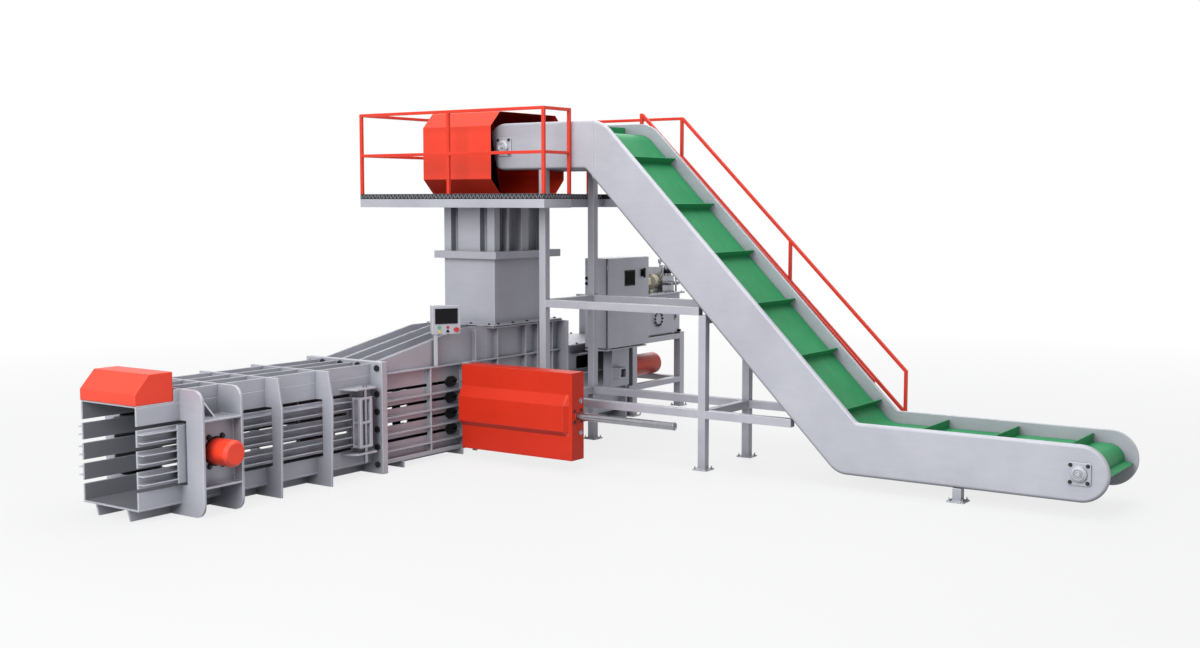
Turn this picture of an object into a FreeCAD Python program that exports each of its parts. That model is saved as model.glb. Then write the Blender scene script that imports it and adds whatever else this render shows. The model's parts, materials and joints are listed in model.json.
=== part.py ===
"""Recycling baler: a bale channel, a press with a hopper, a platform and a cleated belt conveyor.

The bale channel runs along +X, from the discharge end to the main cylinder. The conveyor comes
in along +Y and climbs to the platform over the hopper. Lengths are in millimetres. The layout is
worked out from the discharge end of the channel floor, on its centre line, and each sub-part's
placement then moves it to the middle of the machine's footprint, at floor level.
"""
import FreeCAD
import Part
import Sketcher
import math
import os

DOC = FreeCAD.newDocument("recycling_baler")
SHEET = DOC.addObject("Spreadsheet::Sheet", "Sizes")


class Size:
    """A length that knows both its value and the spreadsheet expression it comes from."""

    def __init__(self, text, value):
        self.text = text
        self.value = float(value)

    @staticmethod
    def of(thing):
        return thing if isinstance(thing, Size) else Size(f"({thing:g})", thing)

    def __add__(self, other):
        other = Size.of(other)
        return Size(f"({self.text} + {other.text})", self.value + other.value)

    def __sub__(self, other):
        other = Size.of(other)
        return Size(f"({self.text} - {other.text})", self.value - other.value)

    def __mul__(self, factor):
        return Size(f"({self.text} * {factor:.12g})", self.value * factor)

    def __truediv__(self, divisor):
        return self * (1.0 / divisor)

    def __neg__(self):
        return self * -1.0

    def __radd__(self, other):
        return Size.of(other) + self

    def __rsub__(self, other):
        return Size.of(other) - self

    __rmul__ = __mul__


def size(alias, value):
    """Put one driving dimension on the next row of the sheet and return it as a Size."""
    size.row += 1
    SHEET.set(f"A{size.row}", alias)
    SHEET.set(f"B{size.row}", f"{value:g}")
    SHEET.setAlias(f"B{size.row}", alias)
    return Size(f"Sizes.{alias}", value)


size.row = 0

NODES = []
PLANE_ROLES = {"XY": "XY_Plane", "XZ": "XZ_Plane", "YZ": "YZ_Plane"}


def bind(thing, prop, length):
    """Bind one property of an object to a size."""
    thing.setExpression(prop, Size.of(length).text)


def place(thing, x, y, z):
    """Bind the base point of a placement."""
    bind(thing, ".Placement.Base.x", x)
    bind(thing, ".Placement.Base.y", y)
    bind(thing, ".Placement.Base.z", z)


def box(x0, x1, y0, y1, z0, z1):
    """A block between two corners."""
    block = DOC.addObject("Part::Box", "Block")
    bind(block, "Length", Size.of(x1) - x0)
    bind(block, "Width", Size.of(y1) - y0)
    bind(block, "Height", Size.of(z1) - z0)
    place(block, x0, y0, z0)
    return block


TURNS = {
    "X": FreeCAD.Rotation(FreeCAD.Vector(0, 1, 0), 90),
    "Y": FreeCAD.Rotation(FreeCAD.Vector(1, 0, 0), -90),
    "Z": FreeCAD.Rotation(),
}


def round_bar(axis, radius, length, x, y, z):
    """A cylinder along one axis, from its base centre."""
    bar = DOC.addObject("Part::Cylinder", "Bar")
    bar.Placement = FreeCAD.Placement(FreeCAD.Vector(), TURNS[axis])
    bind(bar, "Radius", radius)
    bind(bar, "Height", length)
    place(bar, x, y, z)
    return bar


def hex_head(axis, radius, length, x, y, z):
    """A hexagon bolt head along one axis, from its base centre."""
    head = DOC.addObject("Part::Prism", "Head")
    head.Polygon = 6
    head.Placement = FreeCAD.Placement(FreeCAD.Vector(), TURNS[axis])
    bind(head, "Circumradius", radius)
    bind(head, "Height", length)
    place(head, x, y, z)
    return head


def join(pieces):
    """Weld pieces into one."""
    if len(pieces) == 1:
        return pieces[0]
    weld = DOC.addObject("Part::MultiFuse", "Weld")
    weld.Shapes = pieces
    weld.Refine = True
    return weld


def cut(body, tools):
    """Take tools out of a body."""
    result = DOC.addObject("Part::Cut", "Cut")
    result.Base = body
    result.Tool = join(tools)
    return result


def mirror_y(piece):
    """The same piece on the other side of the channel's centre line."""
    twin = DOC.addObject("Part::Mirroring", "Mirror")
    twin.Source = piece
    twin.Base = FreeCAD.Vector(0, 0, 0)
    twin.Normal = FreeCAD.Vector(0, 1, 0)
    return twin


def outline(sketch, points):
    """Draw a closed outline and tie each corner to the sheet."""
    first = sketch.GeometryCount
    count = len(points)
    corners = [(Size.of(u), Size.of(v)) for u, v in points]
    for i in range(count):
        start = corners[i]
        end = corners[(i + 1) % count]
        sketch.addGeometry(Part.LineSegment(FreeCAD.Vector(start[0].value, start[1].value, 0),
                                            FreeCAD.Vector(end[0].value, end[1].value, 0)))
    for i in range(count):
        line = first + i
        previous = first + (i - 1) % count
        sketch.addConstraint(Sketcher.Constraint("Coincident", previous, 2, line, 1))
        for kind, axis, length in (("DistanceX", -2, corners[i][0]), ("DistanceY", -1, corners[i][1])):
            if abs(length.value) < 1e-6:
                sketch.addConstraint(Sketcher.Constraint("PointOnObject", line, 1, axis))
            else:
                index = sketch.addConstraint(Sketcher.Constraint(kind, -1, 1, line, 1, length.value))
                sketch.setExpression(f"Constraints[{index}]", length.text)


def profile(plane, points, start, thick, holes=(), rounds=()):
    """A body padded from an outline on an origin plane, with some of its corners rounded.

    The pad fills from start over thick along the plane's axis. Each entry of rounds is a radius
    with the corners that take it.
    """
    body = DOC.addObject("PartDesign::Body", "Profile")
    sketch = body.newObject("Sketcher::SketchObject", "Outline")
    origin_plane = [f for f in body.Origin.OriginFeatures if f.Role == PLANE_ROLES[plane]][0]
    sketch.AttachmentSupport = [(origin_plane, "")]
    sketch.MapMode = "FlatFace"
    offset = -(Size.of(start) + thick) if plane == "XZ" else Size.of(start)
    bind(sketch, ".AttachmentOffset.Base.z", offset)
    outline(sketch, points)
    for hole in holes:
        outline(sketch, hole)
    pad = body.newObject("PartDesign::Pad", "Pad")
    pad.Profile = sketch
    bind(pad, "Length", thick)
    sketch.Visibility = False
    feature = pad
    for radius, corners in rounds:
        DOC.recompute()
        names = [edge for corner in corners for edge in edges_at(feature.Shape, plane, corner)]
        fillet = body.newObject("PartDesign::Fillet", "Round")
        fillet.Base = (feature, names)
        bind(fillet, "Radius", radius)
        feature = fillet
    body.Tip = feature
    return body


def edges_at(shape, plane, corner):
    """The names of the edges that stand on one corner of a profile."""
    u, v = Size.of(corner[0]).value, Size.of(corner[1]).value
    found = []
    for index, edge in enumerate(shape.Edges, 1):
        spots = []
        for vertex in edge.Vertexes:
            flat = {"XY": (vertex.X, vertex.Y), "XZ": (vertex.X, vertex.Z), "YZ": (vertex.Y, vertex.Z)}
            spots.append(flat[plane])
        if len(spots) == 2 and all(math.hypot(a - u, b - v) < 0.01 for a, b in spots):
            found.append(f"Edge{index}")
    return found


def node(name, pieces, welded=True, at=((0, 0, 0), 0)):
    """Name a sub-part, turn it to its place, and move it to the middle of the machine's footprint."""
    if welded and len(pieces) > 1:
        part = join(pieces)
    else:
        part = DOC.addObject("Part::Compound", "Group")
        part.Links = pieces
    part.Label = name
    (x, y, z), turn = at
    part.Placement = FreeCAD.Placement(FreeCAD.Vector(), FreeCAD.Rotation(FreeCAD.Vector(0, 0, 1), turn))
    place(part, ORIGIN_X + x, ORIGIN_Y + y, z)
    NODES.append(part)
    return part


# Driving dimensions. x is measured from the discharge end of the channel floor, y from the centre
# line, z from the workshop floor.
plate = size("plate", 20)
fit_gap = size("fit_gap", 0.05)
slide_gap = size("slide_gap", 0.3)

channel_length = size("channel_length", 3470)
mouth_start = size("mouth_start", 38)
channel_half = size("channel_half", 460)
floor_low = size("floor_low", 130)
roof_top = size("roof_top", 1235)
rib_top = size("rib_top", 1360)
skid_inset = size("skid_inset", 185)
skid_start = mouth_start + size("skid_setback", 42)

slot_first = size("slot_first", 350)
slot_pitch = size("slot_pitch", 218)
slot_half = size("slot_half", 20)
slot_rows = 4

yoke_first = size("yoke_first", 590)
yoke_second = size("yoke_second", 1110)
yoke_thick = size("yoke_thick", 30)
yoke_half = channel_half + size("yoke_beyond", 360)
yoke_corner = size("yoke_corner", 140)
rib_first = channel_length * size("rib_first_share", 0.513).value
rib_second = channel_length * size("rib_second_share", 0.7378).value
rib_thick = size("rib_thick", 25)
rib_half = channel_half + size("rib_beyond", 260)
rib_crown = channel_half + size("rib_crown_beyond", 195)
rib_shoulder = size("rib_shoulder", 1000)

squeeze_length = channel_length - size("squeeze_setback", 360)
stiffener_reach = size("stiffener_reach", 80)
stiffener_half = size("stiffener_half", 50)
window_gap = size("window_gap", 20)
hinge_along = squeeze_length + size("hinge_setback", 130)
hinge_out = channel_half + size("hinge_beyond", 130)
hinge_radius = size("hinge_radius", 25)
ladder_front = size("ladder_front", 140)
ladder_back = size("ladder_back", 70)
pressure_start = size("pressure_start", 490)
hinge_plate_wide = size("hinge_plate_wide", 114)
slot_setback = size("slot_setback", 175)
squeeze_gap = size("squeeze_gap", 6)
ram_along = size("ram_along", 865)
ram_radius = size("ram_radius", 60)
cap_radius = size("cap_radius", 145)
cap_length = size("cap_length", 320)
cap_seat = channel_half + size("cap_beyond", 230)

hood_front = mouth_start - size("hood_overhang", 10)
hood_length = size("hood_length", 508)
hood_top = size("hood_top", 1550)
hood_brow = size("hood_brow", 1353)
hood_slope = size("hood_slope", 183)
sheet_metal = size("sheet_metal", 5)

flange_thick = size("flange_thick", 45)
flange_half = channel_half + size("flange_beyond", 190)
flange_top = size("flange_top", 1380)
bolt_radius = size("bolt_radius", 40)
bolt_head = size("bolt_head", 25)
bolt_inset = size("bolt_inset", 75)
bolt_low = size("bolt_low", 114)
bolt_high = size("bolt_high", 1305)
bolt_rows = 5
bolt_pitch = size("bolt_pitch", 218)
bolt_column = size("bolt_column", 305)
bolt_shift = size("bolt_shift", 50)

press_length = size("press_length", 3750)
rim_half = channel_half + size("rim_beyond", 140)
press_ledge = channel_half + size("ledge_reach", 70)
press_slot_pitch = size("press_slot_pitch", 209)
bottom_rail_low = size("bottom_rail_low", 85)
bottom_rail_top = size("bottom_rail_top", 135)
foot_half = channel_half + size("foot_beyond", 95)
foot_first = size("foot_first", 381)
foot_second = size("foot_second", 65)
spade_long = size("spade_long", 220)
spade_half = size("spade_half", 68)
prong_gap = size("prong_gap", 14)
press_rib = size("press_rib", 935)
slot_start = size("slot_start", 180)
slot_length = size("slot_length", 1370)
roof_rise = size("roof_rise", 1665)
roof_run = size("roof_run", 1665)
hopper_long = size("hopper_long", 1200)
hopper_half = channel_half - size("hopper_inset", 15)
base_top = size("base_top", 1627)
hopper_wall = size("hopper_wall", 10)
hopper_top = size("hopper_top", 2550)
panel_deep = size("panel_deep", 110)
ring_top = size("ring_top", 2650)

rear_length = size("rear_length", 1620)
bulkhead = size("bulkhead", 40)
main_ram_long = size("main_ram_long", 1350)
ram_side_gap = size("ram_side_gap", 8)
ram_plate = size("ram_plate", 30)
rod_radius = size("rod_radius", 60)
barrel_radius = size("barrel_radius", 175)
barrel_wall = size("barrel_wall", 30)
barrel_height = size("barrel_height", 665)

tying_long = size("tying_long", 255)
tying_in = channel_half + size("tying_gap", 240)
tying_out = tying_in + size("tying_deep", 1763)
tying_low = size("tying_low", 132)
tying_top = roof_top - size("tying_drop", 10)

cabinet_wide = size("cabinet_wide", 1064)
cabinet_back = channel_half + size("cabinet_gap", 200)
cabinet_near = cabinet_back + size("cabinet_deep", 400)
cabinet_low = size("cabinet_low", 1201)
cabinet_top = cabinet_low + size("cabinet_tall", 1304)

deck_far = hopper_half + size("deck_beyond", 1015)
deck_step = hopper_half + size("deck_step_beyond", 765)
deck_near = deck_step + size("deck_wing", 535)
deck_top = size("deck_top", 3430)
deck_low = deck_top - size("deck_thick", 70)
deck_beam = size("deck_beam", 110)
landing_near = deck_step + size("landing_reach", 670)
rail_top = deck_top + size("rail_tall", 1105)
rail_mid = deck_top + size("knee_rail", 550)
rail_wide = size("rail_wide", 40)
stair_foot = landing_near + deck_top + size("stair_toe", 50)
stringer_deep = size("stringer_deep", 260)
step_count = 16

conveyor_wide = size("conveyor_wide", 1200)
conveyor_sheet = size("conveyor_sheet", 40)
bed_sheet = size("bed_sheet", 8)
bed_gap = size("bed_gap", 7)
low_round = size("low_round", 300)
high_round = size("high_round", 450)
hold_round = size("hold_round", 220)
conveyor_depth = size("conveyor_depth", 312.5)
head_out = hopper_half + size("head_beyond", 185)
run_low = size("run_low", 469.5)
run_high = deck_top + size("run_over_deck", 630)
high_bend = deck_step + size("high_run_beyond", 874)
low_bend = high_bend + run_high - run_low
tail_out = low_bend + size("low_run", 2674.5)
belt_outer = size("belt_outer", 165)
belt_thick = size("belt_thick", 10)
belt_margin = size("belt_margin", 15)
cleat_tall = size("cleat_tall", 100)
cleat_thick = size("cleat_thick", 12)
cleat_count = 23
shaft_radius = size("shaft_radius", 30)

post_wide = size("post_wide", 100)
foot_wide = size("foot_wide", 200)
foot_thick = size("foot_thick", 15)
anchor_radius = size("anchor_radius", 9)
anchor_inset = size("anchor_inset", 25)
ring_low = size("ring_low", 1930)
brace_low = size("brace_low", 650)
leg_out = low_bend + size("leg_beyond_bend", 1388.5)

floor_top = floor_low + plate
roof_low = roof_top - plate
wall_in = channel_half - plate
skid_out = channel_half - skid_inset
flange_back = channel_length + flange_thick
press_start = flange_back + flange_thick
press_end = press_start + press_length
rear_start = press_end + yoke_thick
rear_end = rear_start + rear_length
hopper_front = press_start + size("hopper_setback", 2350)
hopper_back = hopper_front + hopper_long
base_front = hopper_front - size("base_ahead", 213)
base_back = press_end - size("base_short", 67)
ram_start = press_end - size("ram_ahead", 100)
barrel_start = rear_end - size("barrel_ahead", 330)
barrel_end = rear_end + size("barrel_behind", 1700)
tying_front = press_start + size("tying_setback", 1350)
tying_back = tying_front + tying_long
needle_along = tying_front + size("needle_setback", 130)
cabinet_front = rear_start + size("cabinet_setback", 398)
conveyor_front = hopper_front
conveyor_back = conveyor_front + conveyor_wide
deck_front = hopper_front - size("deck_ahead", 600)
deck_back = hopper_back + size("deck_behind", 1370)
landing_front = deck_back - size("landing_long", 1100)

# The middle of the footprint: from the hood's brow to the main cylinder's cap, and from the tail of
# the conveyor to the far edge of the deck.
ORIGIN_X = -(hood_front + barrel_end) / 2
ORIGIN_Y = (tail_out + conveyor_depth - deck_far) / 2
slots = [slot_first + slot_pitch * row for row in range(slot_rows)]
low_slot_top = slots[0] + slot_half
high_slot_low = slots[-1] - slot_half
window_half = channel_half + stiffener_reach + window_gap
window_low = slots[0] - slot_half
window_top = slots[-1] + slot_half
shelf_low = window_low - plate
squeeze_mid = slots[1] + slot_pitch / 2
strips = [slot + slot_pitch / 2 for slot in slots[:-1]]
hinge_levels = (window_low - 2 * plate, window_top + 2.5 * plate)
press_slots = [slot_first + press_slot_pitch * row for row in range(slot_rows)]


def both_sides(points):
    """An outline given on the near side, from the bottom out and up, and mirrored to the far side."""
    return [(-u, v) for u, v in points] + [(u, v) for u, v in reversed(points)]


def hinge_bore():
    """The bore that a hinge shaft turns in."""
    return round_bar("Z", hinge_radius + fit_gap, roof_top, hinge_along, -hinge_out, 0)


def channel_walls():
    """Fixed walls: an upper and a lower strip, joined in front of the flange by the hinge gussets."""
    web = squeeze_length + plate
    wall = [(mouth_start, floor_top), (channel_length, floor_top), (channel_length, roof_low),
            (mouth_start, roof_low), (mouth_start, window_top), (web, window_top), (web, window_low),
            (mouth_start, window_low)]
    out = hinge_out + 3 * plate
    start = web - 9.5 * plate
    root = channel_half + 2.5 * plate
    gusset = [(start, -channel_half), (start + 5 * plate, -out), (channel_length - 5 * plate, -out),
              (channel_length - 2.5 * plate, -root), (channel_length, -root),
              (channel_length, -channel_half)]
    pieces = [profile("XZ", wall, -channel_half, plate)]
    for low in hinge_levels:
        pieces.append(cut(profile("XY", gusset, low, plate), [hinge_bore()]))
    near = join(pieces)
    node("channel_walls", [near, mirror_y(near)], welded=False)


def channel_floor():
    """Floor plate on two skids."""
    pieces = [box(mouth_start, channel_length, -channel_half, channel_half, floor_low, floor_top)]
    for y in (-skid_out, skid_out - plate):
        skid = [(skid_start, 0), (channel_length, 0), (channel_length, floor_low),
                (skid_start - floor_low / 4, floor_low)]
        pieces.append(profile("XZ", skid, y, plate))
    node("channel_floor", pieces)


def channel_roof():
    """Roof plate with four stiffeners, interrupted where yokes and ribs cross it."""
    pieces = [box(mouth_start, channel_length, -channel_half, channel_half, roof_low, roof_top)]
    stations = [(hood_length + plate / 2, yoke_first), (yoke_first + yoke_thick, yoke_second),
                (yoke_second + yoke_thick, rib_first), (rib_first + rib_thick, rib_second),
                (rib_second + rib_thick, channel_length)]
    inner = channel_half / 3
    for y in (-channel_half, -inner, inner - plate, channel_half - plate):
        for start, end in stations:
            pieces.append(box(start, end, y, y + plate, roof_top, rib_top - sheet_metal))
    node("channel_roof", pieces)


def channel_frames():
    """Yoke frame that takes the squeeze force, and two ribs, all with windows for the squeeze walls."""
    inside = [(skid_out, 0), (skid_out, floor_low), (channel_half, floor_low),
              (channel_half, window_low), (window_half, window_low), (window_half, window_top),
              (channel_half, window_top), (channel_half, roof_top)]
    frames = []
    for x in (yoke_first, yoke_second):
        outside = both_sides([(yoke_half, rib_top), (yoke_half, 0)] + inside)
        corners = [(side, level) for side in (-yoke_half, yoke_half) for level in (rib_top, Size.of(0))]
        frames.append(profile("YZ", outside, x, yoke_thick, rounds=[(yoke_corner, corners)]))
    shelves = squeeze_shelves()
    node("yoke_frame", frames + [shelves, mirror_y(shelves)])
    ribs = []
    for x in (rib_first, rib_second):
        shoulder = [(rib_crown, rib_top), (rib_half, rib_shoulder), (rib_half - 1.5 * plate, 0)]
        ribs.append(profile("YZ", both_sides(shoulder + inside), x, rib_thick))
    node("channel_ribs", ribs, welded=False)


def squeeze_shelves():
    """Shelves, gusset and cylinder plate between the two yokes, on the near side."""
    start = yoke_first + yoke_thick
    middle = (start + yoke_second) / 2 - plate / 2
    gusset = [(-channel_half, window_top + plate), (-channel_half, roof_top),
              (-cap_seat, window_top + plate)]
    bore = round_bar("Y", ram_radius + 6, plate * 3, ram_along, -cap_seat - plate, squeeze_mid)
    seat = box(start, yoke_second, -cap_seat, plate * 1.25 - cap_seat, window_low, window_top)
    pieces = [
        box(start, yoke_second, -yoke_half, -channel_half, shelf_low, window_low),
        box(start, yoke_second, -yoke_half, -channel_half, window_top, window_top + plate),
        profile("YZ", gusset, middle, plate),
        cut(seat, [bore]),
    ]
    return join(pieces)


def squeeze_cylinders():
    """Two short cylinders that push the squeeze walls in, with bevelled ends."""
    crown_long = plate * 1.5
    barrel_long = cap_length - crown_long
    barrel = round_bar("Y", cap_radius, barrel_long, ram_along, -cap_seat - barrel_long, squeeze_mid)
    crown = DOC.addObject("Part::Cone", "Crown")
    crown.Placement = FreeCAD.Placement(FreeCAD.Vector(), TURNS["Y"])
    bind(crown, "Radius1", cap_radius - crown_long)
    bind(crown, "Radius2", cap_radius)
    bind(crown, "Height", crown_long)
    place(crown, ram_along, -cap_seat - cap_length, squeeze_mid)
    bore_long = cap_length - 3 * plate
    bore = round_bar("Y", ram_radius + fit_gap, bore_long, ram_along, -cap_seat - bore_long, squeeze_mid)
    near = cut(join([barrel, crown]), [bore])
    node("squeeze_cylinders", [near, mirror_y(near)], welded=False)


def squeeze_rams():
    """Ram rods with the pads that press on the stiffeners of the squeeze walls."""
    pad_face = -(channel_half + stiffener_reach + squeeze_gap)
    pad_back = pad_face - plate * 1.2
    pad_half = window_half / 4
    rod_long = cap_seat + cap_length - 4 * plate + pad_back
    rod = round_bar("Y", ram_radius, rod_long, ram_along, pad_back - rod_long, squeeze_mid)
    pad = box(ram_along - pad_half, ram_along + pad_half, pad_back, pad_face,
              strips[0] - stiffener_half, strips[-1] + stiffener_half)
    near = join([rod, pad])
    node("squeeze_ram_near", [near], welded=False)
    node("squeeze_ram_far", [mirror_y(near)], welded=False)


def squeeze_walls():
    """Movable walls: slotted plate, pressed stiffeners, pressure plate and hinge ladder."""
    end = squeeze_length
    slot_end = hinge_along - slot_setback
    fingers = [(mouth_start, low_slot_top), (end, low_slot_top), (end, high_slot_low),
               (mouth_start, high_slot_low)]
    for slot in reversed(slots[1:-1]):
        fingers += [(mouth_start, slot + slot_half), (slot_end, slot + slot_half),
                    (slot_end, slot - slot_half), (mouth_start, slot - slot_half)]
    pieces = [profile("XZ", fingers, -channel_half, plate)]
    tip = -(channel_half + stiffener_reach)
    lip = plate * 0.6
    ladder_start = hinge_along - ladder_front
    ladder_end = hinge_along + ladder_back
    ladder_out = -(hinge_out + 2 * hinge_radius)
    bar_in = ladder_out + 2 * plate
    for strip in strips:
        for low in (strip - stiffener_half, strip + stiffener_half - lip):
            pieces.append(box(mouth_start + lip, slot_end, tip, -channel_half, low, low + lip))
    plate_start = slot_end + plate
    plates = ((pressure_start, yoke_second + yoke_thick / 3), (plate_start, plate_start + hinge_plate_wide))
    for x0, x1 in plates:
        pieces.append(box(x0, x1, tip, tip + plate, low_slot_top, high_slot_low))
    arm = [(ladder_start, -channel_half), (ladder_start, ladder_out), (ladder_end, ladder_out),
           (ladder_end, tip), (end, -channel_half - plate / 2), (end, -channel_half)]
    thick = plate * 1.5
    for low in (low_slot_top, squeeze_mid - thick / 2, high_slot_low - thick):
        pieces.append(profile("XY", arm, low, thick))
    for x in (ladder_start, ladder_end - 2 * plate):
        pieces.append(box(x, x + 2 * plate, ladder_out, bar_in, low_slot_top, high_slot_low))
    near = cut(join(pieces), [hinge_bore()])
    node("squeeze_wall_near", [near], welded=False)
    node("squeeze_wall_far", [mirror_y(near)], welded=False)


def hinge_shafts():
    """The upright shafts that the squeeze walls turn on."""
    low = hinge_levels[0] - 5.5 * plate
    shaft = round_bar("Z", hinge_radius, hinge_levels[1] + 2.5 * plate - low, hinge_along, -hinge_out, low)
    node("hinge_shafts", [shaft, mirror_y(shaft)], welded=False)


def discharge_hood():
    """Folded sheet hood over the discharge end."""
    def shell(inset, start, thick):
        front = hood_front + inset
        knee = hood_front + hood_slope + inset / 2
        points = [(front, roof_top), (front, hood_brow - inset / 2),
                  (knee, hood_top - inset), (hood_length - inset, hood_top - inset),
                  (hood_length - inset, roof_top)]
        return profile("XZ", points, start, thick)
    outer = shell(Size.of(0), -channel_half, 2 * channel_half)
    inner = shell(sheet_metal, sheet_metal - channel_half, 2 * (channel_half - sheet_metal))
    node("discharge_hood", [cut(outer, [inner])], welded=False)


def bolted_flanges():
    """Two frame plates that join channel and press, with their bolts."""
    frames = []
    for start in (channel_length, flange_back):
        frame = box(start, start + flange_thick, -flange_half, flange_half, 0, flange_top)
        hole = box(start, start + flange_thick, -wall_in, wall_in, floor_top, roof_low)
        frames.append(cut(frame, [hole]))
    node("bolted_flanges", frames, welded=False)
    bolt_out = flange_half - bolt_inset
    levels = [bolt_low + bolt_pitch * row for row in range(bolt_rows)] + [bolt_high]
    spots = [(y, level) for level in levels for y in (-bolt_out, bolt_out)]
    spots += [(bolt_shift + bolt_column * column, flange_top - bolt_inset * 0.75) for column in (-1, 0, 1)]
    heads = []
    for y, z in spots:
        heads.append(hex_head("X", bolt_radius, bolt_head, channel_length - bolt_head, y, z))
        heads.append(hex_head("X", bolt_radius, bolt_head, press_start, y, z))
    node("flange_bolts", heads, welded=False)


def press_walls():
    """Press walls with tie slots, ledges and ribs."""
    ahead = size("rib_ahead_of_hopper", 510)
    under = size("rib_under_hopper", 575)
    spots = [hopper_front - ahead, hopper_front - plate * 2.5, hopper_front + under,
             hopper_front + under * 1.48, hopper_back]
    wall = [(press_start, floor_top), (press_end, floor_top), (press_end, roof_low),
            (press_start, roof_low)]
    gap_start = press_start + slot_start
    gap_end = gap_start + slot_length
    gaps = [[(gap_start, slot - slot_half), (gap_end, slot - slot_half),
             (gap_end, slot + slot_half), (gap_start, slot + slot_half)] for slot in press_slots]
    pieces = [profile("XZ", wall, -channel_half, plate, holes=gaps)]
    bracket = tying_back - plate
    half = press_slot_pitch / 2
    ledges = [press_slots[0] - half] + [slot + half for slot in press_slots[:-1]]
    for level in ledges:
        pieces.append(box(press_start, bracket, -press_ledge, -channel_half, level - plate, level))
        pieces.append(box(tying_back, press_end, -press_ledge, -channel_half, level - plate, level))
    pieces.append(box(press_start, press_end, -press_ledge, -channel_half, roof_low - plate, roof_low))
    pieces.append(box(press_start, press_end, -press_ledge, -channel_half, bottom_rail_low,
                      bottom_rail_top))
    for spot in spots:
        pieces.append(box(spot, spot + plate, -press_ledge, -channel_half, 0, base_top))
    rib = press_start + press_rib
    pieces.append(box(rib, rib + plate, -press_ledge, -channel_half, bottom_rail_low, roof_low))
    side = join(pieces)
    holder = box(bracket, tying_back, -tying_in, -channel_half, tying_low, roof_low)
    node("press_wall_near", [side, holder])
    node("press_wall_far", [mirror_y(side)], welded=False)


def press_floor():
    """Floor of the press and of the chamber behind it, on the same skids as the channel."""
    pieces = [box(press_start, press_end, -channel_half, channel_half, floor_low, floor_top)]
    for y in (-skid_out, skid_out - plate):
        pieces.append(box(press_start, press_end, y, y + plate, 0, floor_low))
    for x in (press_start + foot_first, tying_back - foot_second - plate):
        pieces.append(box(x, x + plate, -foot_half, -skid_out, 0, bottom_rail_low))
        pieces.append(box(x, x + plate, skid_out, foot_half, 0, bottom_rail_low))
    node("press_floor", pieces)


def press_roof():
    """Flat chamber roof, carrying four ribs that rise to the hopper, with a sloping cover between."""
    rise_end = press_start + roof_run
    pieces = [box(press_start, base_front, -channel_half, channel_half, roof_low, roof_top)]
    crest = [(press_start, roof_top), (base_front, roof_top), (base_front, roof_rise),
             (rise_end, roof_rise), (press_start, rib_top)]
    deep = 4.5 * plate
    cover = [(press_start, rib_top - deep - plate), (rise_end, roof_rise - deep - plate),
             (base_front, roof_rise - deep - plate), (base_front, roof_rise - deep),
             (rise_end, roof_rise - deep), (press_start, rib_top - deep)]
    inner = channel_half / 3
    for y in (-channel_half, -inner, inner - plate, channel_half - plate):
        pieces.append(profile("XZ", crest, y, plate))
    pieces.append(profile("XZ", cover, plate - channel_half, 2 * wall_in))
    node("press_roof", pieces)


def hopper_base():
    """Shaft between the chamber and the hopper, with its bolted flange."""
    back = hopper_back
    pieces = [
        box(base_front, press_end, -channel_half, -wall_in, roof_low, base_top),
        box(base_front, press_end, wall_in, channel_half, roof_low, base_top),
        box(hopper_front - plate, hopper_front, -wall_in, wall_in, roof_low, base_top),
        box(back, back + plate, -wall_in, wall_in, roof_low, base_top),
        box(back + plate, press_end, -wall_in, wall_in, roof_low, roof_top),
        box(base_front, hopper_front - plate, -wall_in, wall_in, roof_low, roof_top),
    ]
    rim = box(base_front, base_back, -rim_half, rim_half, base_top, base_top + plate)
    mouth = box(hopper_front, back, -wall_in, wall_in, base_top, base_top + plate)
    pieces.append(cut(rim, [mouth]))
    node("hopper_base", pieces)


def square_tube(x0, x1, half, wall, z0, z1):
    """A rectangular shaft, open at both ends."""
    outer = box(x0, x1, -half, half, z0, z1)
    inner = box(x0 + wall, x1 - wall, wall - half, half - wall, z0, z1)
    return cut(outer, [inner])


def hopper_lower():
    """Lower hopper box on its own flange."""
    back = hopper_back
    low = base_top + plate
    rim = box(base_front, base_back, -rim_half, rim_half, low, low + plate)
    mouth = box(hopper_front + hopper_wall, back - hopper_wall, hopper_wall - hopper_half,
                hopper_half - hopper_wall, low, low + plate)
    tube = square_tube(hopper_front, back, hopper_half, hopper_wall, low + plate, hopper_top)
    node("hopper_lower", [cut(rim, [mouth]), tube])


def hopper_upper():
    """Ring frame and upper chute, stiffened by posts and pressed panels."""
    back = hopper_back
    ring_out = hopper_half + 5 * plate
    ring_x = hopper_front - 5 * plate
    ring_end = back + 9 * plate
    deep = panel_deep
    front = hopper_front + deep
    end = back - deep
    half = hopper_half - deep
    rim = box(ring_x, ring_end, -ring_out, ring_out, hopper_top, ring_top)
    mouth = box(front + hopper_wall, end - hopper_wall, hopper_wall - half, half - hopper_wall,
                hopper_top, ring_top)
    pieces = [cut(rim, [mouth]), square_tube(front, end, half, hopper_wall, ring_top, deck_top)]
    corner = panel_deep + plate / 2
    for x in (front - deep, end + deep - corner):
        for y in (-hopper_half, hopper_half - corner):
            pieces.append(box(x, x + corner, y, y + corner, ring_top, deck_low - deck_beam))
    panel = size("panel_wide", 385)
    for x in (front - deep, end):
        pieces.append(box(x, x + deep, -panel / 2, panel / 2, ring_top, deck_low - deck_beam))
    middle = (front + end) / 2
    for y in (-hopper_half, half):
        pieces.append(box(middle, middle + 8 * plate, y, y + deep, ring_top, deck_low - deck_beam))
        pieces.append(box(front + corner * 1.5, front + corner * 1.5 + 2 * plate, y, y + deep,
                          ring_top, deck_low - deck_beam))
    node("hopper_upper", pieces)


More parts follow.
